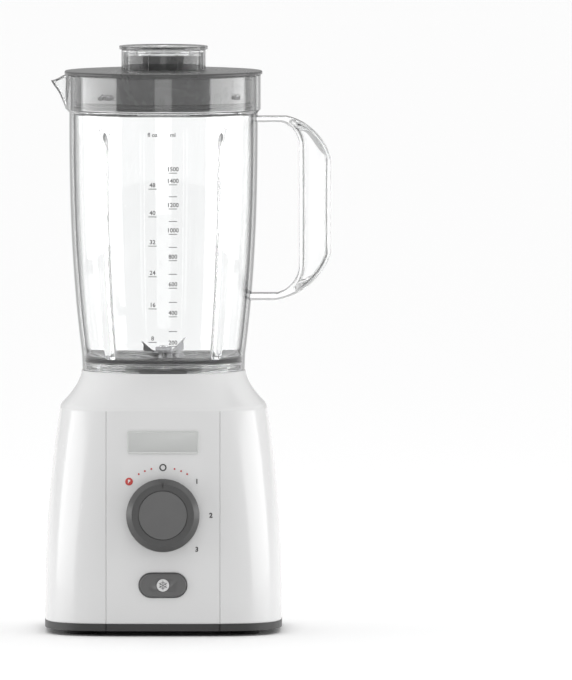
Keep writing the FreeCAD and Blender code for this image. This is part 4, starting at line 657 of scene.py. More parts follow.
@dataclass(frozen=True)
class Clear(Finish):
    """A clear moulded plastic with painted shade: its colour is darkened and its transmission cut where it is
    seen edge on.
    """

    label: str
    tint: Colour = (0.985, 0.99, 0.99)
    # edge is the painted shade colour that the plastic takes where it is seen edge on
    edge: Colour = (0.02, 0.022, 0.024)
    edge_start: float = 0.16
    edge_strength: float = 0.95
    inner_share: float = 0.2
    roughness: float = 0.0
    ior: float = 1.5

    def mix(self, recipe: Recipe, shader: Node, place: Socket) -> None:
        """Glass-like plastic with moulding ripple, a few hairline scratches and a painted shade at grazing
        angles.
        """
        skin = self.group(recipe, SHOP.skin, place, grain_scale=60.0, flow_scale=18.0, smear_scale=40.0)
        marks = self.group(recipe, SHOP.scratches, place, scale=90.0, amount=0.05)
        # painted shade: a Fresnel mask darkens the colour towards the edge colour and lowers transmission
        # where the surface is seen edge on, keeping only a share of it where the Fresnel factor nears one
        # inside the plastic
        fresnel = recipe.add("ShaderNodeFresnel")
        fresnel.inputs["IOR"].default_value = self.ior
        gloss = fresnel.outputs["Fac"]
        grazing_shade = recipe.ramp(gloss, self.edge_start, self.edge_start + 0.22)
        mask = recipe.maths("MULTIPLY", grazing_shade, recipe.ramp(gloss, 0.97, 0.995, 1.0, self.inner_share))
        self.tinted(recipe, shader, mask, self.tint, self.edge)
        recipe.link(recipe.maths("ADD", marks.outputs["Scratch"], self.roughness), shader.inputs["Roughness"])
        shader.inputs["IOR"].default_value = self.ior
        recipe.link(
            recipe.ramp(mask, 0.0, 1.0, 1.0, 1.0 - self.edge_strength), shader.inputs["Transmission Weight"]
        )
        self.bump(recipe, shader, skin.outputs["Height"], 0.12, 2e-5)


WHITE_CASING = Moulding(
    "white casing", grey(0.86), roughness=0.22, grain=2.0, coat=0.25, variation=0.012, smear=0.05,
    scratch=0.03
)
RING_GREY = Moulding("base ring", grey(0.2), roughness=0.42, grain=8.0)
FOOT_RUBBER = Moulding("foot rubber", grey(0.12), roughness=0.7, grain=14.0, grain_scale=900.0)
SEAL_RUBBER = Moulding("seal rubber", grey(0.22), roughness=0.55, grain=8.0)
SEAT_GREY = Moulding("seat", grey(0.42), roughness=0.4, grain=7.0)
KNOB_GREY = Moulding("knob", grey(0.28), roughness=0.36, grain=6.0)
BUTTON_GREY = Moulding("button", grey(0.37), roughness=0.34, grain=5.0)
LID_GREY = Moulding("lid", grey(0.29), roughness=0.27, grain=1.5, variation=0.03)
HOLDER_GREY = Moulding("blade holder", grey(0.38), roughness=0.3, grain=3.0, coat=0.2)
BLACK_PLASTIC = Moulding("black plastic", grey(0.13), roughness=0.45, grain=8.0)
RED_PRINT = Moulding("red print", screen_colour(0.76, 0.27, 0.25), roughness=0.38, grain=2.0)
DARK_PRINT = Moulding("dark print", grey(0.22), roughness=0.4, grain=2.0)
WHITE_PRINT = Moulding("white print", grey(0.95), roughness=0.4, grain=2.0)
SCALE_PRINT = Moulding("scale print", grey(0.42), roughness=0.35, grain=2.0)
ICON_PALE = Moulding("ice icon", grey(0.86), roughness=0.3, grain=2.0, coat=0.2)
BOARD_GREEN = Moulding("circuit board", screen_colour(0.12, 0.40, 0.22), roughness=0.4, grain=5.0)
CARBON = Moulding("carbon", grey(0.15), roughness=0.6, grain=10.0)
BADGE_SILVER = Steel("badge", (0.60, 0.61, 0.60), roughness=0.36, scratch=0.05, metallic=0.6)
BLADE_STEEL = Steel("blade steel", (0.34, 0.34, 0.35), roughness=0.18, scratch=0.16)
PLAIN_STEEL = Steel("plain steel")
ZINC = Steel("zinc plate", (0.55, 0.56, 0.58), roughness=0.36)
BRONZE = Steel("sintered bronze", (0.50, 0.33, 0.14), roughness=0.42)
COPPER_BARS = Steel("commutator copper", (0.72, 0.38, 0.22), roughness=0.25)
LAMINATIONS = Layered("laminations", (0.30, 0.31, 0.33), pitch=0.0007)
WINDING = Layered("winding", (0.66, 0.30, 0.12), pitch=0.0006, waver=1.5)
CLEAR_JUG = Clear("jug")
CLEAR_CAP = Clear("filler cap")


def dressed(piece: Piece, finish: Finish, body: str, slot: str, *nodes: str) -> Piece:
    """Finishes a new piece: its material, its body and the nodes it stands for."""
    if not piece.data.materials:
        piece.data.materials.append(finish.material())
    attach(piece, body)
    if nodes:
        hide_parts(*nodes)
    LOG.info("built %s on %s", piece.name, body)
    return piece


# ------------------------------------------------------------------ power unit
@dataclass
class PowerUnit:
    """The white casing with its feet. Sizes in millimetres."""

    half_width: float = 82.9
    half_depth: float = 80.5
    lean: float = 10.8
    lean_power: float = 2.2
    squareness: float = 4.2
    shoulder_squareness: float = 3.2
    bottom: float = 8.5
    shoulder: float = 157.5
    neck_top: float = 181.5
    neck_radius: float = 57.5
    neck_power: float = 1.7
    wall: float = 2.5
    soften: float = 2.6
    groove_x: float = 39.6
    groove_width: float = 0.9
    groove_depth: float = 0.6
    foot_height: float = 3.5
    foot_radius: float = 10.0
    foot_x: float = 57.0
    foot_y: float = 48.0
    button_height: float = 35.6
    button_width: float = 33.0
    button_tall: float = 16.6
    button_gap: float = 0.6
    inlet_height: float = 24.0
    inlet_radius: float = 7.0
    side_columns: int = 104

    def raw_plan(self, height: float) -> Triple:
        """Half width, half depth and squareness at a height, with the shoulder's crease sharp."""
        if height <= self.shoulder:
            t = max(0.0, (height - self.bottom) / (self.shoulder - self.bottom))
            lean = self.lean * t**self.lean_power
            power = self.squareness + (self.shoulder_squareness - self.squareness) * t
            return self.half_width - lean, self.half_depth - lean, power
        t = min(1.0, (height - self.shoulder) / (self.neck_top - self.shoulder))
        rest = (1 - t) ** self.neck_power
        power = 2 + (self.shoulder_squareness - 2) * (1 - t)
        wide = self.neck_radius + (self.half_width - self.lean - self.neck_radius) * rest
        deep = self.neck_radius + (self.half_depth - self.lean - self.neck_radius) * rest
        return wide, deep, power

    def plan(self, height: float) -> Triple:
        """Half width, half depth and squareness at a height, with the shoulder's crease softened."""
        away = abs(height - self.shoulder)
        if away >= self.soften:
            return self.raw_plan(height)
        parts = [self.raw_plan(height + d) for d in curve_between(away - self.soften, self.soften - away, 7)]
        return tuple(sum(p[k] for p in parts) / len(parts) for k in range(3))

    def front(self, height: float, x: float = 0.0, growth: float = 0.0) -> float:
        """Where the front face lies in Y at a height and a distance from the centre line."""
        wide, deep, power = self.plan(height)
        return -(deep + growth) * (1 - abs(x / (wide + growth)) ** power) ** (1 / power)

    def panel(self, height: float) -> Matrix:
        """A frame on the front face, in metres, whose -Y points straight out of the leaning panel."""
        rise = self.front(height + 1) - self.front(height - 1)
        lean = math.atan2(rise, 2.0)
        return Matrix.Translation(to_metres(0, self.front(height), height)) @ Matrix.Rotation(-lean, 4, "X")

    def lean_at(self, height: float) -> float:
        """How far the panel leans back at a height, in radians."""
        return math.atan2(self.front(height + 1) - self.front(height - 1), 2.0)

    def columns(self) -> list[Pair]:
        """The front columns' distances from the centre line, with each one's share of the groove's depth."""
        half = self.groove_width / 2
        notch = [
            (-half - 0.5, 0), (-half, 0), (-half * 0.5, 0.9), (0, 1), (half * 0.5, 0.9), (half, 0),
            (half + 0.5, 0)
        ]
        right = [(x, 0.0) for x in (2.5, 7.5, 12.5, 17.5, 22.5, 27.5, 32.5, 36.5)]
        right += [(self.groove_x + x, share) for x, share in notch]
        right += [(43.0, 0.0), (47.0, 0.0)]
        return [(-x, share) for x, share in right[::-1]] + right

    def ring(self, height: float, growth: float, deep: float) -> list[Vector]:
        """One closed ring of the casing's surface.

        Args:
            height: where the ring lies.
            growth: how far it stands outside the surface; negative is inside.
            deep: how deep the panel's grooves are here, from 0 to 1.

        Returns:
            The ring's points: the front from left to right, then round the back.
        """
        wide, depth, power = self.plan(height)
        wide, depth = wide + growth, depth + growth
        points = []
        front = self.columns()
        for x, share in front:
            y = -depth * (1 - abs(x / wide) ** power) ** (1 / power)
            points.append(to_metres(x, y + share * deep * self.groove_depth, height))
        start = math.atan2(points[-1].y, points[-1].x)
        sweep = TAU - 2 * abs(start + math.pi / 2)
        for i in range(1, self.side_columns):
            a = start + sweep * i / self.side_columns
            reach = (abs(math.cos(a) / wide) ** power + abs(math.sin(a) / depth) ** power) ** (-1 / power)
            points.append(to_metres(reach * math.cos(a), reach * math.sin(a), height))
        return points

    def heights(self) -> list[float]:
        """The ring heights, closer together at the shoulder, the button and both ends."""
        low = [self.bottom, self.bottom + 0.25, self.bottom + 0.8, self.bottom + 2]
        low += curve_between(self.bottom + 6, self.shoulder - 6, 44)
        turn = curve_between(self.shoulder - 4, self.shoulder + 4, 13)
        neck = curve_between(self.shoulder + 5.5, self.neck_top - 1.4, 12)
        return low + turn + neck + [self.neck_top - 0.7, self.neck_top - 0.2, self.neck_top]

    def shell(self) -> Piece:
        """The casing: outside and inside walls joined at both rims, with the panel's openings cut through."""
        heights = self.heights()
        rings = []
        for z in heights:
            edge = min(z - self.bottom, self.neck_top - z)
            inset = -0.45 * (1 - min(1.0, edge / 0.8)) ** 2
            groove = smooth_step((self.shoulder - 1.0 - z) / 1.5)
            rings.append(self.ring(z, inset, groove))
        for z in heights[::-1][::2]:
            rings.append(self.ring(z, -self.wall, 0.0))
        columns = len(rings[0])
        points = [p for ring in rings for p in ring]
        shell = new_piece("casing_shell", points, grid_faces(len(rings), columns, 0, True), 30)
        opening = prism(
            "opening",
            pill_outline(self.button_width + 2 * self.button_gap, self.button_tall + 2 * self.button_gap),
            [(-6, 0), (8, 0)],
            self.panel(self.button_height),
        )
        combined(shell, opening, Join.CUT)
        r = self.inlet_radius
        hole = turned("inlet", [(0.01, 60), (r, 60), (r, 100), (0.01, 100)], 48)
        lift = Matrix.Translation(to_metres(0, 0, self.inlet_height))
        hole.data.transform(lift @ Matrix.Rotation(math.radians(-90), 4, "X"))
        combined(shell, hole, Join.CUT)
        shade(shell, 30)
        return shell

    def feet(self) -> Piece:
        """Four round feet with softened edges, spread over the corners."""
        r, h = self.foot_radius, self.foot_height
        profile = rounded(
            [(0.01, h, 0), (r, h, 0), (r, 0, 0.8), (r - 3.5, 0, 0.3), (r - 4, 0.6, 0.3), (0.01, 0.6, 0)], 4
        )
        shape = turned("foot", profile, 40)
        places = [
            (to_metres(sx * self.foot_x, sy * self.foot_y, 0), (0.0, 0.0, 0.0)) for sx in (-1, 1)
            for sy in (-1, 1)
        ]
        return SHOP.repeater.spread("round_feet", shape, places, FOOT_RUBBER.material())

    def build(self) -> None:
        """Builds and dresses the power unit's outside."""
        dressed(self.shell(), WHITE_CASING, "power_unit", "casing_white", "outer_casing")
        dressed(self.feet(), FOOT_RUBBER, "power_unit", "foot_rubber", "rubber_feet")


def pill_outline(width: float, tall: float, steps: int = 14) -> list[Pair]:
    """A pill's outline, across and up, in millimetres."""
    radius = tall / 2
    half = width / 2 - radius
    right = [(half + radius * math.sin(a), -radius * math.cos(a)) for a in curve_between(0, math.pi, steps)]
    left = [(-x, -z) for x, z in right]
    return right + left


def circle_outline(radius: float, steps: int = 64) -> list[Pair]:
    """A circle's outline, across and up, in millimetres."""
    return [(radius * math.cos(TAU * i / steps), radius * math.sin(TAU * i / steps)) for i in range(steps)]


# ------------------------------------------------------------------ control panel
@dataclass
class ControlPanel:
    """The knob, its printed dial, the ice button and the blank badge. Sizes in millimetres."""

    unit: PowerUnit
    knob_height: float = 84.0
    knob_radius: float = 25.5
    face_radius: float = 21.6
    knob_proud: float = 15.0
    insert_radius: float = 17.2
    knob_gap: float = 1.2
    mark_radius: float = 33.4
    mark_proud: float = 0.18
    ring_radius: float = 2.5
    ring_hole: float = 1.65
    disc_radius: float = 2.7
    letter_size: float = 3.2
    digit_size: float = 4.6
    button_proud: float = 2.6
    badge_height: float = 134.8
    badge_width: float = 50.0
    badge_tall: float = 16.0
    badge_proud: float = 0.95
    dial_numbers: tuple[tuple[float, str], ...] = ((45.0, "1"), (90.0, "2"), (135.0, "3"))
    dot_angles: tuple[float, ...] = (14.0, 22.2, 30.3)

    def spun_about_knob(self, name: str, profile: Sequence[Pair]) -> Piece:
        """A piece turned about the knob's axis from (radius, distance inwards)."""
        piece = turned(name, profile, 96)
        place = self.unit.panel(self.knob_height) @ Matrix.Rotation(math.radians(-90), 4, "X")
        piece.data.transform(place)
        return piece

    def knob(self) -> Piece:
        """The knob: a bevelled rim round a shallow recess, with a pointer notch at the top."""
        proud = self.knob_proud
        corners = [
            (0.01, -proud + 1.6, 0),
            (self.insert_radius, -proud + 1.6, 0),
            (self.insert_radius, -proud, 0.35),
            (self.face_radius, -proud, 1.2),
            (self.knob_radius, -proud + 4.6, 2.2),
            (self.knob_radius, -self.knob_gap, 0.5),
            (self.knob_radius - 2.5, -self.knob_gap, 0.4),
            (self.knob_radius - 3.0, -self.knob_gap - 6, 0),
            (0.01, -self.knob_gap - 6, 0),
        ]
        knob = self.spun_about_knob("speed_dial", rounded(corners, 6))
        wedge = [(0.0, 18.6), (2.3, 26.6), (-2.3, 26.6)]
        cutter = prism(
            "notch", wedge, [(-proud - 2, 0), (-proud + 2.2, 0)], self.unit.panel(self.knob_height)
        )
        return combined(knob, cutter, Join.CUT)

    def insert(self) -> Piece:
        """The disc let into the knob's face, slightly dished."""
        r, proud = self.insert_radius - 0.25, self.knob_proud
        profile = [(0.01, -proud + 0.75)] + [
            (r * t, -proud + 0.75 - 0.45 * t**2) for t in (0.2, 0.4, 0.6, 0.8, 0.92)
        ]
        profile += [(r - 0.25, -proud + 0.32), (r, -proud + 0.55), (r, -proud + 1.6), (0.01, -proud + 1.6)]
        return self.spun_about_knob("dial_inset", profile)

    def on_panel(self, x: float, z: float, proud: float) -> Vector:
        """A point on the front face, standing proud of it, from its distance across and its height."""
        return to_metres(x, self.unit.front(z, x) - proud, z)

    def wrapped(self, piece: Piece, centre_height: float) -> Piece:
        """Lays a flat piece, drawn across and up with its thickness in Y, onto the front face."""
        for v in piece.data.vertices:
            x, away, z = v.co.x / MM, v.co.y / MM, v.co.z / MM + centre_height
            v.co = self.on_panel(x, z, -away)
        piece.data.update()
        return piece

    def flat(
        self, name: str, outline: Sequence[Pair], proud: float, across: float, up: float, edge: float = 0.05
    ) -> Piece:
        """A thin printed patch on the panel, centred at a point relative to the knob."""
        depths = [(-proud, edge), (-proud + edge, 0), (0.35, 0)]
        piece = prism(name, outline, depths, Matrix.Translation(to_metres(across, 0, up)))
        return self.wrapped(piece, self.knob_height)

    def around_knob(self, degrees: float) -> Pair:
        """A place on the dial, across and up from the knob's centre."""
        a = math.radians(degrees)
        return self.mark_radius * math.sin(a), self.mark_radius * math.cos(a)

    def lettering(self, name: str, text: str, size: float, across: float, up: float, proud: float) -> Piece:
        """A digit or letter printed on the panel."""
        piece = flat_text(name, text, size, 0.2, 0.03)
        piece.data.transform(Matrix.Translation(to_metres(across, -proud + 0.1, up)))
        return self.wrapped(piece, self.knob_height)

    def ring_mark(self) -> Piece:
        """The open ring that marks off."""
        across, up = self.around_knob(0)
        outer, inner = circle_outline(self.ring_radius, 48), circle_outline(self.ring_hole, 48)
        face, sunk = self.mark_proud, -0.35
        points = []
        for proud, rim in ((face, outer), (face, inner), (sunk, inner), (sunk, outer)):
            points += [self.on_panel(x + across, z + up + self.knob_height, proud) for x, z in rim]
        return new_piece("off_ring", points, grid_faces(4, 48, 0, True))

    def marks(self) -> None:
        """The dial's marks: off ring, pulse disc, dots and speed numbers."""
        dressed(self.ring_mark(), DARK_PRINT, "power_unit", "mark_red", "dial_marks")
        across, up = self.around_knob(-45)
        disc = self.flat("pulse_disc", circle_outline(self.disc_radius, 48), self.mark_proud, across, up)
        dressed(disc, RED_PRINT, "power_unit", "mark_red")
        letter = self.lettering("pulse_letter", "P", self.letter_size, across, up, self.mark_proud + 0.05)
        dressed(letter, WHITE_PRINT, "power_unit", "mark_red")
        shape = turned("dot", [(0.005, 0.0), (0.62, 0.0), (0.66, -0.05), (0.66, -0.5), (0.005, -0.5)], 16)
        shape.data.transform(Matrix.Rotation(math.radians(90), 4, "X"))
        places = []
        for degrees in [side * a for side in (-1, 1) for a in self.dot_angles]:
            x, z = self.around_knob(degrees)
            z += self.knob_height
            places.append((self.on_panel(x, z, self.mark_proud), (-self.unit.lean_at(z), 0.0, 0.0)))
        dots = SHOP.repeater.spread("dial_dots", shape, places, RED_PRINT.material())
        dressed(dots, RED_PRINT, "power_unit", "mark_red")
        for degrees, digit in self.dial_numbers:
            x, z = self.around_knob(degrees)
            number = self.lettering("speed_" + digit, digit, self.digit_size, x, z, self.mark_proud)
            dressed(number, DARK_PRINT, "power_unit", "mark_red")

    def button(self) -> Piece:
        """The pill-shaped button with a crowned face and a pocket for its icon."""
        place = self.unit.panel(self.unit.button_height)
        outline = pill_outline(self.unit.button_width, self.unit.button_tall)
        proud = self.button_proud
        depths = [
            (-proud, 3.2), (-proud + 0.08, 1.6), (-proud + 0.3, 0.7), (-proud + 0.7, 0.2),
            (-proud + 1.2, 0), (4.0, 0)
        ]
        piece = prism("frost_button", outline, depths, place)
        pocket = prism("pocket", circle_outline(4.5), [(-proud - 1, 0), (-proud + 0.5, 0)], place)
        return combined(piece, pocket, Join.CUT)

    def icon(self) -> Piece:
        """The pale disc in the button."""
        place = self.unit.panel(self.unit.button_height)
        proud = self.button_proud
        return prism(
            "frost_disc", circle_outline(4.35),
            [(-proud + 0.02, 0.25), (-proud + 0.15, 0), (-proud + 0.5, 0)], place
        )

    def frost_arms(self) -> Piece:
        """Six branched arms on the disc, one arm repeated round its centre."""
        strips = [(0.0, 0.2, 3.3, 0.0), (1.5, 0.0, 1.2, 50.0), (1.5, 0.0, 1.2, -50.0)]
        parts = []
        for up, start, length, degrees in strips:
            outline = [(-0.17, start), (0.17, start), (0.17, length), (-0.17, length)]
            bar = prism("bar", outline, [(-0.12, 0.04), (0.0, 0), (0.1, 0)], Matrix.Identity(4))
            lift = Matrix.Translation(to_metres(0, 0, up))
            bar.data.transform(lift @ Matrix.Rotation(math.radians(degrees), 4, "Y"))
            parts.append(bar)
        arm = joined("arm", parts)
        lean = self.unit.lean_at(self.unit.button_height)
        centre = self.unit.panel(self.unit.button_height) @ to_metres(0, -self.button_proud, 0)
        places = []
        for i in range(6):
            turn = (Matrix.Rotation(-lean, 3, "X") @ Matrix.Rotation(TAU * i / 6, 3, "Y")).to_euler()
            places.append((centre, tuple(turn)))
        return SHOP.repeater.spread("frost_star", arm, places, DARK_PRINT.material())

    def badge(self) -> Piece:
        """The blank satin plate, bent to the front face."""
        w, h = self.badge_width / 2, self.badge_tall / 2
        corner = rounded([(w, h, 2), (-w, h, 2), (-w, -h, 2), (w, -h, 2)], 6, True)
        outline = []
        for i, (x, z) in enumerate(corner):
            after = corner[(i + 1) % len(corner)]
            steps = max(1, int(abs(after[0] - x) / 4))
            outline += [
                (x + (after[0] - x) * k / steps, z + (after[1] - z) * k / steps) for k in range(steps)
            ]
        proud = self.badge_proud
        depths = [
            (-proud + 0.25, 1.5), (-proud + 0.2, 1.2), (-proud, 0.95), (-proud, 0.35), (-proud + 0.2, 0.05),
            (0.3, 0)
        ]
        piece = prism("blank_badge", outline, depths, Matrix.Identity(4))
        return self.wrapped(piece, self.badge_height)

    def build(self) -> None:
        """Builds and dresses the control panel."""
        dressed(self.knob(), KNOB_GREY, "speed_knob", "knob_grey", "speed_knob")
        centre = self.unit.panel(self.knob_height).translation
        face = Spun("dial inset", grey(0.37), centre, -self.unit.lean_at(self.knob_height))
        dressed(self.insert(), face, "speed_knob", "knob_face", "knob_insert")
        self.marks()
        dressed(self.button(), BUTTON_GREY, "ice_button", "knob_grey", "ice_button")
        dressed(self.icon(), ICON_PALE, "ice_button", "icon_pale", "ice_icon")
        dressed(self.frost_arms(), DARK_PRINT, "ice_button", "icon_pale")
        dressed(self.badge(), BADGE_SILVER, "power_unit", "badge_silver", "badge_plate")


def flat_text(name: str, text: str, size: float, thickness: float, weight: float = 0.0) -> Piece:
    """A word or number as a mesh, upright, centred on the origin, with its thickness along Y."""
    curve = bpy.data.curves.new(name, "FONT")
    curve.body = text
    curve.size = size * MM
    curve.align_x = "CENTER"
    curve.align_y = "CENTER"
    curve.extrude = thickness * MM / 2
    curve.resolution_u = 3
    curve.offset = weight * size * MM
    words = bpy.data.objects.new(name, curve)
    bpy.context.scene.collection.objects.link(words)
    bpy.context.view_layer.update()
    mesh = bpy.data.meshes.new_from_object(words)
    bpy.data.objects.remove(words)
    mesh.name = name
    mesh.materials.clear()
    mesh.transform(Matrix.Rotation(math.radians(90), 4, "X"))
    tidy_mesh(mesh)
    piece = bpy.data.objects.new(name, mesh)
    bpy.context.scene.collection.objects.link(piece)
    return piece


# ------------------------------------------------------------------ jug
@dataclass
class Jug:
    """The clear jug with its ribs, collar, spout, handle and printed scale. Sizes in millimetres."""

    foot_bottom: float = 181.5
    foot_radius: float = 56.8
    low_radius: float = 57.2
    high_radius: float = 66.0
    curve_power: float = 2.5
    curve_bottom: float = 193.0
    curve_top: float = 361.5
    wall: float = 3.0
    floor: float = 191.0
    floor_fall: float = 2.5
    floor_thickness: float = 3.0
    bore: float = 36.0
    neck_wall: float = 3.0
    neck_bottom: float = 183.4
    collar: float = 68.1
    collar_bottom: float = 364.0
    top: float = 388.5
    rib_angle: float = 42.0
    rib_width: float = 10.0
    rib_depth: float = 4.6
    rib_flat: float = 1.6
    rib_top: float = 352.0
    rib_taper: float = 13.0
    spout_run: float = 11.5
    spout_tip: float = 384.3
    spout_half: float = 17.0
    spout_root: float = 4.0
    handle_reach: float = 117.2
    handle_top: float = 359.2
    handle_bottom: float = 230.6
    grip_width: float = 22.5
    top_strap: float = 4.0
    bottom_strap: float = 4.8
    grip_top: float = 329.0
    grip_bottom: float = 264.0
    handle_depth: float = 21.0
    flange: float = 3.0
    web: float = 3.0
    scale_first: float = 200.8
    scale_step: float = 10.63
    scale_curve: float = 0.10

    def radius(self, height: float) -> float:
        """The outer radius at a height between the foot and the collar."""
        t = min(max((height - self.curve_bottom) / (self.curve_top - self.curve_bottom), 0.0), 1.0)
        return self.low_radius + (self.high_radius - self.low_radius) * (1 - (1 - t) ** self.curve_power)

    def angles(self) -> list[float]:
        """The columns' angles from +X, closer together at the ribs and the spout."""
        marks = [TAU * i / 132 for i in range(132)]
        edge = curve_between(-6.0, 6.0, 25)
        for middle in self.rib_middles():
            marks = [a for a in marks if abs((a - middle + math.pi) % TAU - math.pi) > 7.0 / 58]
            marks += [middle + e / 58 for e in edge]
        marks = [a for a in marks if abs(a - math.pi) > math.radians(20)]
        marks += [math.pi + math.radians(d) for d in curve_between(-19.5, 19.5, 53)]
        return sorted(a % TAU for a in marks)

    def rib_middles(self) -> list[float]:
        """The four ribs' angles from +X."""
        return [
            math.radians(a)
            for a in (90 - self.rib_angle, 90 + self.rib_angle, 270 - self.rib_angle, 270 + self.rib_angle)
        ]

    def rib_reach(self, angle: float, height: float) -> float:
        """How far the nearest rib stands in from the wall at a place."""
        nearest = min(abs((angle - m + math.pi) % TAU - math.pi) for m in self.rib_middles())
        across = nearest * 58
        share = 1 - smooth_step((across - self.rib_flat) / (self.rib_width / 2 + 0.6 - self.rib_flat))
        fade = smooth_step((self.rib_top - height - 0.12 * across**2) / self.rib_taper)
        return self.rib_depth * share * fade

    def spouted(self, radius: float, height: float, angle: float, inset: float) -> Pair:
        """A collar point pushed out into the pouring lip.

        Args:
            radius: the point's plain radius.
            height: its plain height.
            angle: its direction from +X.
            inset: how far it lies inside the outer surface.

        Returns:
            Its radius and height with the lip.
        """
        if height <= self.collar_bottom + inset:
            return radius, height
        t = (height - self.collar_bottom) / (self.top - self.collar_bottom)
        away = abs(angle - math.pi)
        half = math.asin((self.spout_root + (self.spout_half - self.spout_root) * t) / self.collar)
        reach = self.collar + self.spout_run * t
        tip = reach - inset * 1.05 + 0.5
        if tip <= radius:
            return radius, height
        bent = math.sqrt(away**2 + math.radians(1.1) ** 2)
        side = math.sin(half) * radius
        along = math.cos(half) * radius
        line = radius
        if away < half:
            line = tip * side / (side * math.cos(bent) + (tip - along) * math.sin(bent))
        out = radius + max(0.0, line - radius)
        share = min(1.0, max(0.0, (out - radius) / self.spout_run))
        drop = (self.top - self.spout_tip) * smooth_step(share * 1.1) * smooth_step((t - 0.3) / 0.7)
        return out, height - drop

    def outline(self) -> list[tuple[float, float, bool]]:
        """The wall's closed section: (radius, height, whether it belongs to the inside)."""
        foot, inner_foot = self.foot_radius, self.foot_radius - self.wall
        bottom = self.foot_bottom
        outside = rounded([(inner_foot, bottom, 0.4), (foot, bottom, 0.7), (self.low_radius, 193, 0)], 3)
        outside += [
            (self.radius(z), z) for z in curve_between(self.curve_bottom + 2, self.curve_top - 1.5, 58)
        ]
        rim = rounded(
            [
                (self.radius(self.curve_top - 1.0), self.curve_top - 1.0, 0),
                (self.high_radius + 0.1, self.curve_top + 0.2, 0.8),
                (self.collar, self.collar_bottom, 0.8),
                (self.collar, self.collar_bottom + 4, 0),
            ],
            3,
        )
        outside += rim + [(self.collar, z) for z in curve_between(self.collar_bottom + 6, self.top - 2, 9)]
        r, r_in, top = self.collar, self.collar - self.wall, self.top
        outside += rounded([(r, top - 1.6, 0), (r, top, 1.0), (r_in, top, 0.8), (r_in, top - 1.8, 0)], 4)
        inside = [(r_in, z) for z in curve_between(top - 3, self.collar_bottom + 3, 9)]
        inside += rounded(
            [
                (self.collar - self.wall, self.collar_bottom + 2, 0),
                (self.collar - self.wall, self.collar_bottom, 0.6),
                (self.high_radius - self.wall, self.curve_top, 0.6),
                (self.radius(self.curve_top - 2) - self.wall, self.curve_top - 2, 0),
            ],
            3,
        )
        inside += [
            (self.radius(z) - self.wall, z) for z in curve_between(self.curve_top - 4, self.floor + 5, 64)
        ]
        low = self.floor - self.floor_fall
        r_in = self.radius(self.floor) - self.wall
        floor = [(r_in, self.floor + 4, 0), (r_in, self.floor - 0.2, 2.2), (48.0, self.floor - 0.6, 0)]
        inside += rounded(floor, 6)
        inside += [(44.5, self.floor - 1.1), (40.5, low + 0.7)]
        under = rounded(
            [
                (40.0, low + 0.6, 0),
                (self.bore, low, 0.5),
                (self.bore, self.neck_bottom, 0.4),
                (self.bore + self.neck_wall, self.neck_bottom, 0.4),
                (self.bore + self.neck_wall, self.floor - self.floor_thickness, 0.5),
                (self.foot_radius - self.wall, self.floor - self.floor_thickness, 0.8),
                (self.foot_radius - self.wall, 187.1, 0),
                (self.foot_radius - self.wall - 1.4, 186.6, 0.3),
                (self.foot_radius - self.wall - 1.4, 185.8, 0.3),
                (self.foot_radius - self.wall, 185.3, 0),
                (self.foot_radius - self.wall, 183.9, 0),
                (self.foot_radius - self.wall - 1.4, 183.4, 0.3),
                (self.foot_radius - self.wall - 1.4, 182.6, 0.3),
                (self.foot_radius - self.wall, 182.1, 0),
            ],
            3,
        )
        runs = ((outside, False), (inside, True), (under, False))
        return [(r, z, within) for run, within in runs for r, z in run]

    def body(self) -> Piece:
        """The jug's wall, floor, ribs and lip as one closed skin."""
        angles = self.angles()
        points = []
        section = self.outline()
        for radius, height, inside in section:
            in_collar = height > self.collar_bottom and radius < self.collar - 0.5
            inset = self.collar - radius if in_collar else 0.0
            for a in angles:
                r, z = radius, height
                if height > self.collar_bottom:
                    r, z = self.spouted(radius, height, a, inset)
                elif inside and height > self.floor - 3:
                    limit = self.radius(max(height, self.floor)) - self.wall - self.rib_reach(a, height)
                    r = min(radius, limit)
                points.append(to_metres(r * math.cos(a), r * math.sin(a), z))
        return new_piece("jug_body", points, grid_faces(len(section), len(angles), 0, True), 40)

    def handle_edge(self, inner: bool) -> list[Pair]:
        """The handle's outer or inner edge from the top root to the bottom root, (across, up)."""
        if inner:
            x = self.handle_reach - self.grip_width
            top, bottom = self.handle_top - self.top_strap, self.handle_bottom + self.bottom_strap
            top_x, bottom_x = 82.0, 80.0
            high, low = self.grip_top + 11, self.grip_bottom - 9
            sweep = 0.72
        else:
            x = self.handle_reach
            top, bottom = self.handle_top, self.handle_bottom
            top_x, bottom_x = 86.0, 78.0
            high, low = self.grip_top, self.grip_bottom
            sweep = 0.69
        root_top = self.radius(top) - self.wall + 1.2
        root_bottom = self.radius(bottom) - self.wall + 1.2
        up = (top_x + (x - top_x) * sweep, high + (top - high) * sweep * 0.86)
        down = (bottom_x + (x - bottom_x) * sweep, low + (bottom - low) * sweep * 0.86)
        edge = [(v, top) for v in curve_between(root_top, top_x, 6)][:-1]
        edge += arc_through((top_x, top), up, (x, high), 22)
        edge += [(x, v) for v in curve_between(high, low, 12)][1:-1]
        edge += arc_through((x, low), down, (bottom_x, bottom), 22)
        edge += [(v, bottom) for v in curve_between(bottom_x, root_bottom, 6)][1:]
        return edge

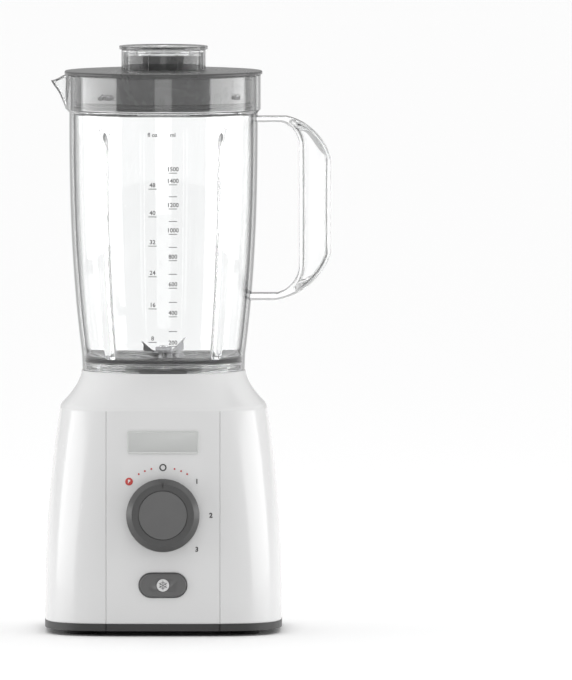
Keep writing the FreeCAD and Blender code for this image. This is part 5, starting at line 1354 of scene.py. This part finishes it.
    def handle(self) -> Piece:
        """The handle: two straps that open into a grip of two flanges and a thin web."""
        rings = []
        half = self.handle_depth / 2
        for (ox, oz), (ix, iz) in zip(self.handle_edge(False), self.handle_edge(True)):
            outer, inner = Vector((ox, oz)), Vector((ix, iz))
            thick = (outer - inner).length
            inward = (inner - outer) / thick
            share = smooth_step((thick - 8.0) / 7.0)
            lip = min(self.flange, thick * 0.34)
            sunk = half - (half - self.web / 2) * share
            soft = min(1.0, thick * 0.2)
            corners = []
            for side in (1, -1):
                strip = [
                    (0.0, half, soft),
                    (lip, half, 0.7 * share + 0.01),
                    (lip + 0.8 * share, sunk, 1.1 * share + 0.01),
                    (thick - lip - 0.8 * share, sunk, 1.1 * share + 0.01),
                    (thick - lip, half, 0.7 * share + 0.01),
                    (thick, half, soft),
                ]
                corners += strip if side == 1 else [(d, -y, s) for d, y, s in strip[::-1]]
            ring = []
            for deep, y in rounded(corners, 3, True):
                spot = outer + inward * deep
                ring.append(to_metres(spot.x, y, spot.y))
            rings.append(ring)
        return tube_piece("grip", rings, 40)

    def print_point(self, x: float, z: float, proud: float) -> Vector:
        """A point on the jug's front, standing proud of its wall."""
        r = self.radius(z) + proud
        return to_metres(x, -math.sqrt(r * r - x * x), z)

    def wrapped(self, piece: Piece, across: float, up: float) -> Piece:
        """Lays a flat piece with its thickness in Y onto the jug's front."""
        for v in piece.data.vertices:
            v.co = self.print_point(v.co.x / MM + across, v.co.z / MM + up, 0.06 - v.co.y / MM)
        piece.data.update()
        return piece

    def mark_height(self, millilitres: float) -> float:
        """Where a volume's mark stands on the jug."""
        u = millilitres / 100.0 - 2.0
        return self.scale_first + self.scale_step * u - self.scale_curve * u * u

    def scale(self) -> Piece:
        """The printed volume scale: two columns of numbers with their rules."""
        ounce = 28.41
        rules: list[Pair] = []
        words: list[tuple[str, float, float, float]] = []
        for hundreds in range(2, 16):
            z = self.mark_height(hundreds * 100.0)
            rules.append((6.9, z))
            if hundreds % 2 == 0 or hundreds == 15:
                words.append((str(hundreds * 100), 6.9, z + 2.6, 4.1))
        for ounces in range(8, 49, 8):
            z = self.mark_height(ounces * ounce)
            rules.append((-7.3, z))
            words.append((str(ounces), -7.3, z + 2.6, 4.1))
        header = self.mark_height(1500) + 26.5
        words += [("ml", 6.9, header, 4.0), ("fl oz", -7.3, header, 4.0)]
        outline = [(-2.9, -0.25), (2.9, -0.25), (2.9, 0.25), (-2.9, 0.25)]
        bar = prism("rule", outline, [(-0.1, 0.03), (-0.06, 0), (0.06, 0)], Matrix.Identity(4))
        places = [(self.print_point(x, z, 0.06), (0.0, 0.0, math.asin(x / self.radius(z)))) for x, z in rules]
        parts = [SHOP.repeater.spread("rules", bar, places, SCALE_PRINT.material())]
        for text, x, z, size in words:
            parts.append(self.wrapped(flat_text("mark", text, size, 0.12, 0.022), x, z))
        whole = joined("volume_scale", parts)
        whole.data.materials.clear()
        return whole

    def lock_marks(self) -> Piece:
        """Small padlock outlines printed on the collar: open and shut at the left, shut at the right."""
        parts = []
        for across, up, swing in ((-43.8, 374.6, 1.6), (-38.2, 374.6, 0.0), (52.0, 374.6, 0.0)):
            body = rounded([(1.7, 0.0, 0.4), (-1.7, 0.0, 0.4), (-1.7, -2.4, 0.4), (1.7, -2.4, 0.4)], 2, True)
            shackle_outer = [
                (swing + 1.3 * math.cos(a), 1.2 * math.sin(a) + 0.6) for a in curve_between(0, math.pi, 12)
            ]
            shackle_inner = [
                (swing + 0.8 * math.cos(a), 0.75 * math.sin(a) + 0.6) for a in curve_between(math.pi, 0, 12)
            ]
            left_foot = [(swing - 1.3, 0.0), (swing - 0.8, 0.0)]
            arch = [(swing + 1.3, 0.0)] + shackle_outer + left_foot + shackle_inner + [(swing + 0.8, 0.0)]
            for outline in (body, arch):
                part = prism("lock", outline, [(-0.08, 0), (0.08, 0)], Matrix.Identity(4))
                for v in part.data.vertices:
                    x, z = v.co.x / MM + across, v.co.z / MM + up
                    r = self.collar + 0.05 - v.co.y / MM
                    v.co = to_metres(x, -math.sqrt(r * r - x * x), z)
                parts.append(part)
        return joined("lock_marks", parts)

    def build(self) -> None:
        """Builds and dresses the jug."""
        jug = combined(self.body(), self.handle(), Join.FUSE)
        jug.name = "clear_jug"
        shade(jug, 40)
        dressed(jug, CLEAR_JUG, "jug", "jug_clear", "jug")
        dressed(self.scale(), SCALE_PRINT, "jug", "jug_clear")
        dressed(self.lock_marks(), SCALE_PRINT, "jug", "jug_clear")


# ------------------------------------------------------------------ blade unit
@dataclass
class BladeUnit:
    """The grey holder in the jug's foot and the crossed blades on it. Sizes in millimetres."""

    dish: float = 187.5
    disc_radius: float = 35.7
    wall: float = 3.0
    flange_bottom: float = 178.5
    flange_top: float = 181.0
    ring_inner: float = 41.6
    ring_outer: float = 44.6
    ring_bottom: float = 172.0
    ring_top: float = 187.3
    hub: float = 10.5
    bore: float = 7.0
    dome_radius: float = 19.0
    dome_top_radius: float = 12.5
    dome_top: float = 190.5
    grips: int = 12
    seat: float = 191.5
    thickness: float = 1.4
    hub_radius: float = 8.5
    stud: float = 3.0
    reach: float = 27.0
    root_width: float = 11.0
    upper_angle: float = 48.0
    lower_angle: float = -45.0

    def holder(self) -> Piece:
        """The holder: dish, dome, flange and grip ring, turned in one."""
        rim = self.disc_radius
        corners = [
            (self.bore, self.flange_bottom, 0),
            (self.hub, self.flange_bottom, 0.4),
            (self.hub, self.dish - self.wall, 0.8),
            (rim - self.wall, self.dish - self.wall, 0.8),
            (rim - self.wall, self.flange_bottom, 0.4),
            (self.ring_inner, self.flange_bottom, 0.6),
            (self.ring_inner, self.ring_bottom, 0.4),
            (self.ring_outer, self.ring_bottom, 0.5),
            (self.ring_outer, self.ring_top, 0.6),
            (self.ring_inner, self.ring_top, 0.6),
            (self.ring_inner, self.flange_top, 0.5),
            (rim, self.flange_top, 0.3),
            (rim, self.dish, 0.9),
            (self.dome_radius + 3.0, self.dish - 0.25, 1.5),
            (self.dome_radius - 1.0, self.dish + 0.35, 2.0),
            (self.dome_top_radius, self.dome_top - 0.6, 2.0),
            (self.bore + 1.5, self.dome_top, 0.4),
            (self.bore, self.dome_top, 0.2),
        ]
        piece = turned("blade_base", rounded(corners, 4, True), 144)
        return piece

    def grip_ribs(self) -> Piece:
        """Raised finger grips round the holder's ring, one repeated."""
        outline = rounded([(-3.2, -3.0, 0.8), (3.2, -3.0, 0.8), (3.2, 2.6, 0.8), (-3.2, 2.6, 0.8)], 3, True)
        shape = prism(
            "grip_rib", outline, [(-0.12, 0.8), (0.0, 0.35), (0.1, 0.1), (0.5, 0.0)], Matrix.Identity(4)
        )
        places = []
        for i in range(self.grips):
            a = TAU * (i + 0.5) / self.grips
            centre = to_metres(
                self.ring_outer * math.cos(a), self.ring_outer * math.sin(a), self.ring_bottom + 4
            )
            places.append((centre, (0.0, 0.0, a + math.pi / 2)))
        return SHOP.repeater.spread("grip_ribs", shape, places, HOLDER_GREY.material())

    def arm(self, base: float, rise: Callable[[float], float], sharp: float) -> Piece:
        """One blade arm along +X, thick at its spine and ground to an edge on one side.

        Args:
            base: the height of the hub's underside.
            rise: the arm's height above the hub at a share of its length.
            sharp: which side is ground, 1 or -1.

        Returns:
            The arm.
        """
        rings = []
        start = self.hub_radius - 3.0
        for t in curve_between(0.0, 1.0, 22):
            x = start + (self.reach - start) * t
            width = self.root_width * (1 - 0.10 * t) * (1 - smooth_step((t - 0.35) / 0.65)) + 1.1 * t
            lead = sharp * (self.root_width / 2 - 0.9 * t**2)
            spine = lead - sharp * max(width, 1.0)
            ground = lead - sharp * min(2.6, max(width, 1.0) * 0.55)
            low = base + rise(t)
            high = low + self.thickness * (1 - 0.35 * t)
            rings.append(
                [
                    to_metres(x, spine, low),
                    to_metres(x, ground, low),
                    to_metres(x, lead, low + 0.12),
                    to_metres(x, lead, low + 0.25),
                    to_metres(x, ground, high),
                    to_metres(x, spine, high),
                ]
            )
        return tube_piece("arm", rings, 25)

    @staticmethod
    def lower_rise(t: float) -> float:
        """How far a lower arm lies above its root at t along it; it droops."""
        return -1.9 * smooth_step(t * 1.1)

    @staticmethod
    def upper_rise(t: float) -> float:
        """How far an upper arm lies above its root at t along it."""
        return 9.6 * smooth_step((t - 0.12) / 1.25) * 1.25

    def blade(self, name: str, base: float, rise: Callable[[float], float], degrees: float) -> Piece:
        """A blade with two arms and a pierced hub."""
        top = base + self.thickness
        corners = [
            (self.stud, base, 0.1), (self.hub_radius, base, 0.2), (self.hub_radius, top, 0.2),
            (self.stud, top, 0.1)
        ]
        blade = turned(name, rounded(corners, 2, True), 48)
        for k in range(2):
            arm = self.arm(base, rise, 1.0)
            arm.data.transform(Matrix.Rotation(math.pi * k, 4, "Z"))
            combined(blade, arm, Join.FUSE)
        blade.data.transform(Matrix.Rotation(math.radians(degrees), 4, "Z"))
        shade(blade, 25)
        return blade

    def nut(self) -> Piece:
        """The hexagonal nut with chamfered corners."""
        base = self.seat + 2 * self.thickness
        rings = []
        for z, radius in ((0.0, 5.3), (0.35, 5.77), (2.9, 5.77), (3.4, 5.1), (3.4, 3.2), (4.3, 2.4)):
            ring = []
            for i in range(6):
                a = TAU * i / 6
                ring.append(to_metres(radius * math.cos(a), radius * math.sin(a), base + z))
            rings.append(ring)
        return tube_piece("crown_nut", rings, 20)

    def build(self) -> None:
        """Builds and dresses the blade unit."""
        dressed(self.holder(), HOLDER_GREY, "blade_unit", "holder_grey", "blade_holder")
        dressed(self.grip_ribs(), HOLDER_GREY, "blade_unit", "holder_grey")
        lower = self.blade("lower_cutter", self.seat, self.lower_rise, self.lower_angle)
        dressed(lower, BLADE_STEEL, "blade_rotor", "bright_steel", "lower_blade")
        upper = self.blade("upper_cutter", self.seat + self.thickness, self.upper_rise, self.upper_angle)
        dressed(upper, BLADE_STEEL, "blade_rotor", "bright_steel", "upper_blade")
        dressed(self.nut(), BLADE_STEEL, "blade_rotor", "bright_steel", "blade_nut")


# ------------------------------------------------------------------ lid and cap
@dataclass
class Lid:
    """The dark push-in lid and its soft seal. Sizes in millimetres."""

    jug_top: float = 388.5
    radius: float = 69.2
    edge: float = 2.6
    dome: float = 0.9
    skirt_depth: float = 24.0
    skirt_radius: float = 62.1
    skirt_wall: float = 2.5
    seal_height: float = 5.0
    seal_width: float = 2.7
    neck_radius: float = 26.6
    neck_wall: float = 2.5
    neck_height: float = 10.3

    def top(self) -> float:
        """The height of the lid's flat middle."""
        return self.jug_top + self.edge + self.dome

    def cover(self) -> Piece:
        """The lid in one turning: skirt, overhanging rim, low dome and neck."""
        bottom = self.jug_top - self.skirt_depth
        bore = self.neck_radius - self.neck_wall
        inner = self.skirt_radius - self.skirt_wall
        band = self.skirt_radius + self.seal_width - 0.6
        neck_top = self.top() + self.neck_height
        corners = [
            (bore, self.jug_top, 0.4),
            (inner, self.jug_top, 1.2),
            (inner, bottom, 0.5),
            (self.skirt_radius, bottom, 0.3),
            (self.skirt_radius, bottom + self.seal_height, 0.2),
            (band, bottom + self.seal_height, 0.4),
            (band, self.jug_top, 0.4),
            (self.radius, self.jug_top, 0.9),
            (self.radius, self.jug_top + self.edge, 1.5),
            (60.0, self.jug_top + self.edge + 0.55, 6),
            (34.0, self.top(), 6),
            (self.neck_radius, self.top(), 0.7),
            (self.neck_radius, neck_top, 0.7),
            (bore, neck_top, 0.5),
        ]
        return turned("lid_cover", rounded(corners, 5, True), 160)

    def seal(self) -> Piece:
        """The soft ring at the foot of the skirt, with two lips."""
        bottom = self.jug_top - self.skirt_depth
        r, w, h = self.skirt_radius, self.seal_width, self.seal_height
        corners = [
            (r, bottom, 0.2),
            (r + w - 0.5, bottom, 0.5),
            (r + w - 0.1, bottom + 1.2, 0.4),
            (r + w - 0.7, bottom + 2.4, 0.4),
            (r + w - 0.1, bottom + 3.7, 0.4),
            (r + w - 0.6, bottom + h, 0.4),
            (r, bottom + h, 0.2),
        ]
        return turned("lid_ring", rounded(corners, 4, True), 160)

    def build(self) -> None:
        """Builds and dresses the lid."""
        dressed(self.cover(), LID_GREY, "lid", "lid_grey", "lid")
        dressed(self.seal(), SEAL_RUBBER, "lid", "seal_rubber", "lid_seal")


@dataclass
class FillerCap:
    """The clear cap over the lid's neck. Sizes in millimetres."""

    lid: Lid
    skirt_radius: float = 29.5
    wall: float = 2.0
    rim_radius: float = 31.0
    plate_bottom: float = 404.0
    plate: float = 2.5
    rim: float = 2.0
    cup_radius: float = 21.0
    cup_depth: float = 9.0
    ribs: int = 9

    def shell(self) -> Piece:
        """The cap in one turning: skirt, rim and the small cup in its middle."""
        low = self.lid.top()
        top = self.plate_bottom + self.plate
        cup = low - self.cup_depth
        inner = self.skirt_radius - self.wall
        corners = [
            (0.01, cup, 0),
            (self.cup_radius - 0.6, cup, 1.6),
            (self.cup_radius, self.plate_bottom, 0.8),
            (inner, self.plate_bottom, 0.6),
            (inner, low + 0.02, 0.4),
            (self.skirt_radius, low + 0.02, 0.4),
            (self.skirt_radius, top - 0.7, 0.5),
            (self.rim_radius, top - 0.5, 0.5),
            (self.rim_radius, top + self.rim, 0.7),
            (self.rim_radius - 2.5, top + self.rim, 0.7),
            (self.rim_radius - 4.0, top, 0.9),
            (self.cup_radius - self.wall, top, 1.0),
            (self.cup_radius - self.wall - 0.6, cup + self.wall, 1.8),
            (0.01, cup + self.wall, 0),
        ]
        return turned("cap", rounded(corners, 5), 128)

    def guide_ribs(self) -> Piece:
        """Upright ribs inside the skirt that centre the cap on the neck, one repeated."""
        low, high = self.lid.top() + 0.3, self.plate_bottom + 0.3
        inner = self.lid.neck_radius + 0.35
        outer = self.skirt_radius - self.wall + 0.6
        rings = []
        for z in (low, high):
            section = ((inner, -0.6), (outer, -0.9), (outer, 0.9), (inner, 0.6))
            rings.append([to_metres(r, y, z - low) for r, y in section])
        shape = tube_piece("cap_rib", rings)
        start = math.radians(10)
        places = [(to_metres(0, 0, low), (0.0, 0.0, start + TAU * i / self.ribs)) for i in range(self.ribs)]
        return SHOP.repeater.spread("cap_ribs", shape, places, CLEAR_CAP.material())

    def build(self) -> None:
        """Builds and dresses the cap."""
        cap = combined(self.shell(), self.guide_ribs(), Join.FUSE)
        cap.name = "clear_cap"
        shade(cap, 35)
        dressed(cap, CLEAR_CAP, "filler_cap", "jug_clear", "filler_cap")


# ------------------------------------------------------------------ pieces that keep their CAD shape
class Inside(Enum):
    """Finishes for the pieces that keep their modelled shape, with the nodes that wear each."""

    SEAT = (SEAT_GREY, ("jug_seat",))
    RING = (RING_GREY, ("base_plate",))
    RUBBER = (SEAL_RUBBER, ("splash_seal", "blade_seal", "shaft_seal", "cord_inlet_grommet"))
    DAMPERS = (FOOT_RUBBER, ("motor_dampers",))
    STEEL = (
        PLAIN_STEEL,
        ("base_screws", "motor_bolts", "switch_nut", "switch_spindle", "motor_shaft", "blade_shaft")
    )
    ZINC = (ZINC, ("motor_lower_bracket", "motor_upper_bracket", "switch_carrier"))
    CORES = (LAMINATIONS, ("stator_core", "armature_core"))
    COILS = (WINDING, ("field_coils", "armature_winding"))
    COPPER = (COPPER_BARS, ("commutator",))
    BRONZE = (BRONZE, ("lower_bush", "upper_bush", "blade_bush"))
    BLACK = (
        BLACK_PLASTIC,
        (
            "brush_holders",
            "fan_shroud",
            "cooling_fan",
            "rotary_switch",
            "ice_switch",
            "interlock_switch",
            "terminal_block",
            "drive_coupling",
            "driven_coupling",
            "interlock_plunger",
        ),
    )
    CARBON = (CARBON, ("carbon_brushes",))
    BOARD = (BOARD_GREEN, ("control_board",))


@dataclass
class PlungerSpring:
    """The coil spring under the interlock plunger's collar. Sizes in millimetres."""

    forward: float = 43.0
    shelf: float = 151.0
    length: float = 9.0
    wire: float = 0.5
    radius: float = 3.5
    turns: int = 6
    travel: float = 2.5

    def coil(self) -> Piece:
        """The wound wire."""
        rings = []
        rise = self.length - 2 * self.wire
        for t in curve_between(0.0, 1.0, self.turns * 28 + 1):
            turn = TAU * self.turns * t
            ring = []
            for around in curve_between(0.0, TAU, 11)[:-1]:
                out = self.radius + self.wire / 2 * math.cos(around)
                up = self.shelf + self.wire + rise * t + self.wire / 2 * math.sin(around)
                ring.append(to_metres(out * math.cos(turn), self.forward + out * math.sin(turn), up))
            rings.append(ring)
        return tube_piece("plunger_spring", rings, 60)

    def build(self) -> None:
        """Builds the spring and gives it a mesh of its own; the script does not make it shorten against its
        shelf as the plunger goes down.
        """
        spring = dressed(self.coil(), PLAIN_STEEL, "interlock_plunger", "bright_steel", "interlock_spring")
        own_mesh(spring)


def dress_inside() -> None:
    """Gives every piece that keeps its modelled shape its own finish."""
    for group in Inside:
        finish, nodes = group.value
        for name in nodes:
            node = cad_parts[name]
            node.data.materials.clear()
            node.data.materials.append(finish.material())
            LOG.info("finished %s", name)


# ------------------------------------------------------------------ studio
@dataclass
class Studio:
    """A pale floor, soft light and the camera."""

    elevation: float = 3.1
    scale_mm: float = 0.70
    lens: float = 1000.0
    sensor: float = 36.0
    frame_wide: int = 572
    frame_tall: int = 680
    axis_column: float = 163.6
    ground_row: float = 628.5
    front_level: float = 0.16
    side_level: float = 0.50
    top_level: float = 0.96
    light_height: float = 0.33
    side_reach: float = 1.8
    side_forward: float = 0.15
    side_size: Pair = (1.9, 0.6)
    side_power: float = 11.0
    front_height: float = 0.32
    front_reach: float = 2.0
    front_size: Pair = (0.7, 0.5)
    front_power: float = 1.2

    def floor(self) -> None:
        """A wide pale floor."""
        half = 90.0
        points = [
            Vector((x, y, -0.0002)) for x, y in ((-half, -half), (half, -half), (half, half), (-half, half))
        ]
        floor = new_piece("floor", points, [(0, 1, 2, 3)])
        material = bpy.data.materials.new("pale floor")
        material.use_nodes = True
        recipe = Recipe(material.node_tree)
        shader = recipe.add("ShaderNodeBsdfPrincipled")
        leave = recipe.add("ShaderNodeOutputMaterial")
        recipe.link(shader.outputs["BSDF"], leave.inputs["Surface"])
        shader.inputs["Base Color"].default_value = (0.93, 0.93, 0.93, 1)
        shader.inputs["Roughness"].default_value = 0.75
        floor.data.materials.append(material)

    def light(
        self, name: str, place: Sequence[float], aim: Sequence[float], size: Pair, power: float
    ) -> None:
        """One soft rectangular light, aimed at a point."""
        lamp = bpy.data.lights.new(name, "AREA")
        lamp.shape = "RECTANGLE"
        lamp.size, lamp.size_y = size
        lamp.energy = power
        holder = bpy.data.objects.new(name, lamp)
        holder.location = place
        holder.rotation_euler = (Vector(aim) - Vector(place)).to_track_quat("-Z", "Y").to_euler()
        bpy.context.scene.collection.objects.link(holder)

    def sky(self) -> None:
        """A pale surround for the light from all sides."""
        world = bpy.data.worlds.new("studio")
        world.use_nodes = True
        recipe = Recipe(world.node_tree)
        back = recipe.add("ShaderNodeBackground", strength=1.0)
        leave = recipe.add("ShaderNodeOutputWorld")
        split = recipe.add("ShaderNodeSeparateXYZ")
        recipe.link(recipe.add("ShaderNodeTexCoord").outputs["Generated"], split.inputs[0])
        sides = recipe.ramp(split.outputs["Y"], 0.2, -0.8, self.side_level, self.front_level)
        overhead = recipe.ramp(split.outputs["Z"], 0.1, 0.9, 0.0, self.top_level)
        level = recipe.maths("ADD", sides, overhead)
        grey_mix = recipe.add("ShaderNodeCombineColor")
        for channel in ("Red", "Green", "Blue"):
            recipe.link(level, grey_mix.inputs[channel])
        recipe.link(grey_mix.outputs["Color"], back.inputs["Color"])
        recipe.link(back.outputs["Background"], leave.inputs["Surface"])
        bpy.context.scene.world = world

    def camera(self) -> None:
        """A long lens aimed so that the blender stands left of the middle."""
        data = bpy.data.cameras.new("camera")
        data.lens = self.lens
        data.sensor_width = self.sensor
        data.clip_end = 200.0
        data.clip_start = 0.5
        focal_rows = self.lens / self.sensor * self.frame_tall
        distance = focal_rows * self.scale_mm * MM
        tilt = math.radians(self.elevation)
        across = (self.frame_wide / 2 - self.axis_column) * self.scale_mm * MM
        up = (self.ground_row - self.frame_tall / 2) * self.scale_mm * MM / math.cos(tilt)
        target = Vector((across, 0, up))
        camera = bpy.data.objects.new("camera", data)
        camera.location = target + Vector((0, -math.cos(tilt), math.sin(tilt))) * distance
        camera.rotation_euler = Euler((math.pi / 2 - tilt, 0, 0))
        bpy.context.scene.collection.objects.link(camera)
        bpy.context.scene.camera = camera

    def build(self) -> None:
        """Sets up the whole studio."""
        self.floor()
        self.sky()
        middle = (0, 0, self.light_height)
        for name, across in (("left softbox", -self.side_reach), ("right softbox", self.side_reach)):
            place = (across, -self.side_forward, self.light_height)
            self.light(name, place, middle, self.side_size, self.side_power)
        place = (0, -self.front_reach, self.front_height)
        self.light("front strip", place, (0, 0, self.front_height), self.front_size, self.front_power)
        self.camera()
        bpy.context.scene.view_settings.view_transform = "Standard"


def main() -> None:
    logging.basicConfig(level=logging.INFO, format="%(message)s")
    Studio().build()
    unit = PowerUnit()
    lid = Lid()
    for maker in (unit, ControlPanel(unit), Jug(), BladeUnit(), lid, FillerCap(lid)):
        maker.build()
    PlungerSpring().build()
    dress_inside()


if __name__ == "__main__":
    main()
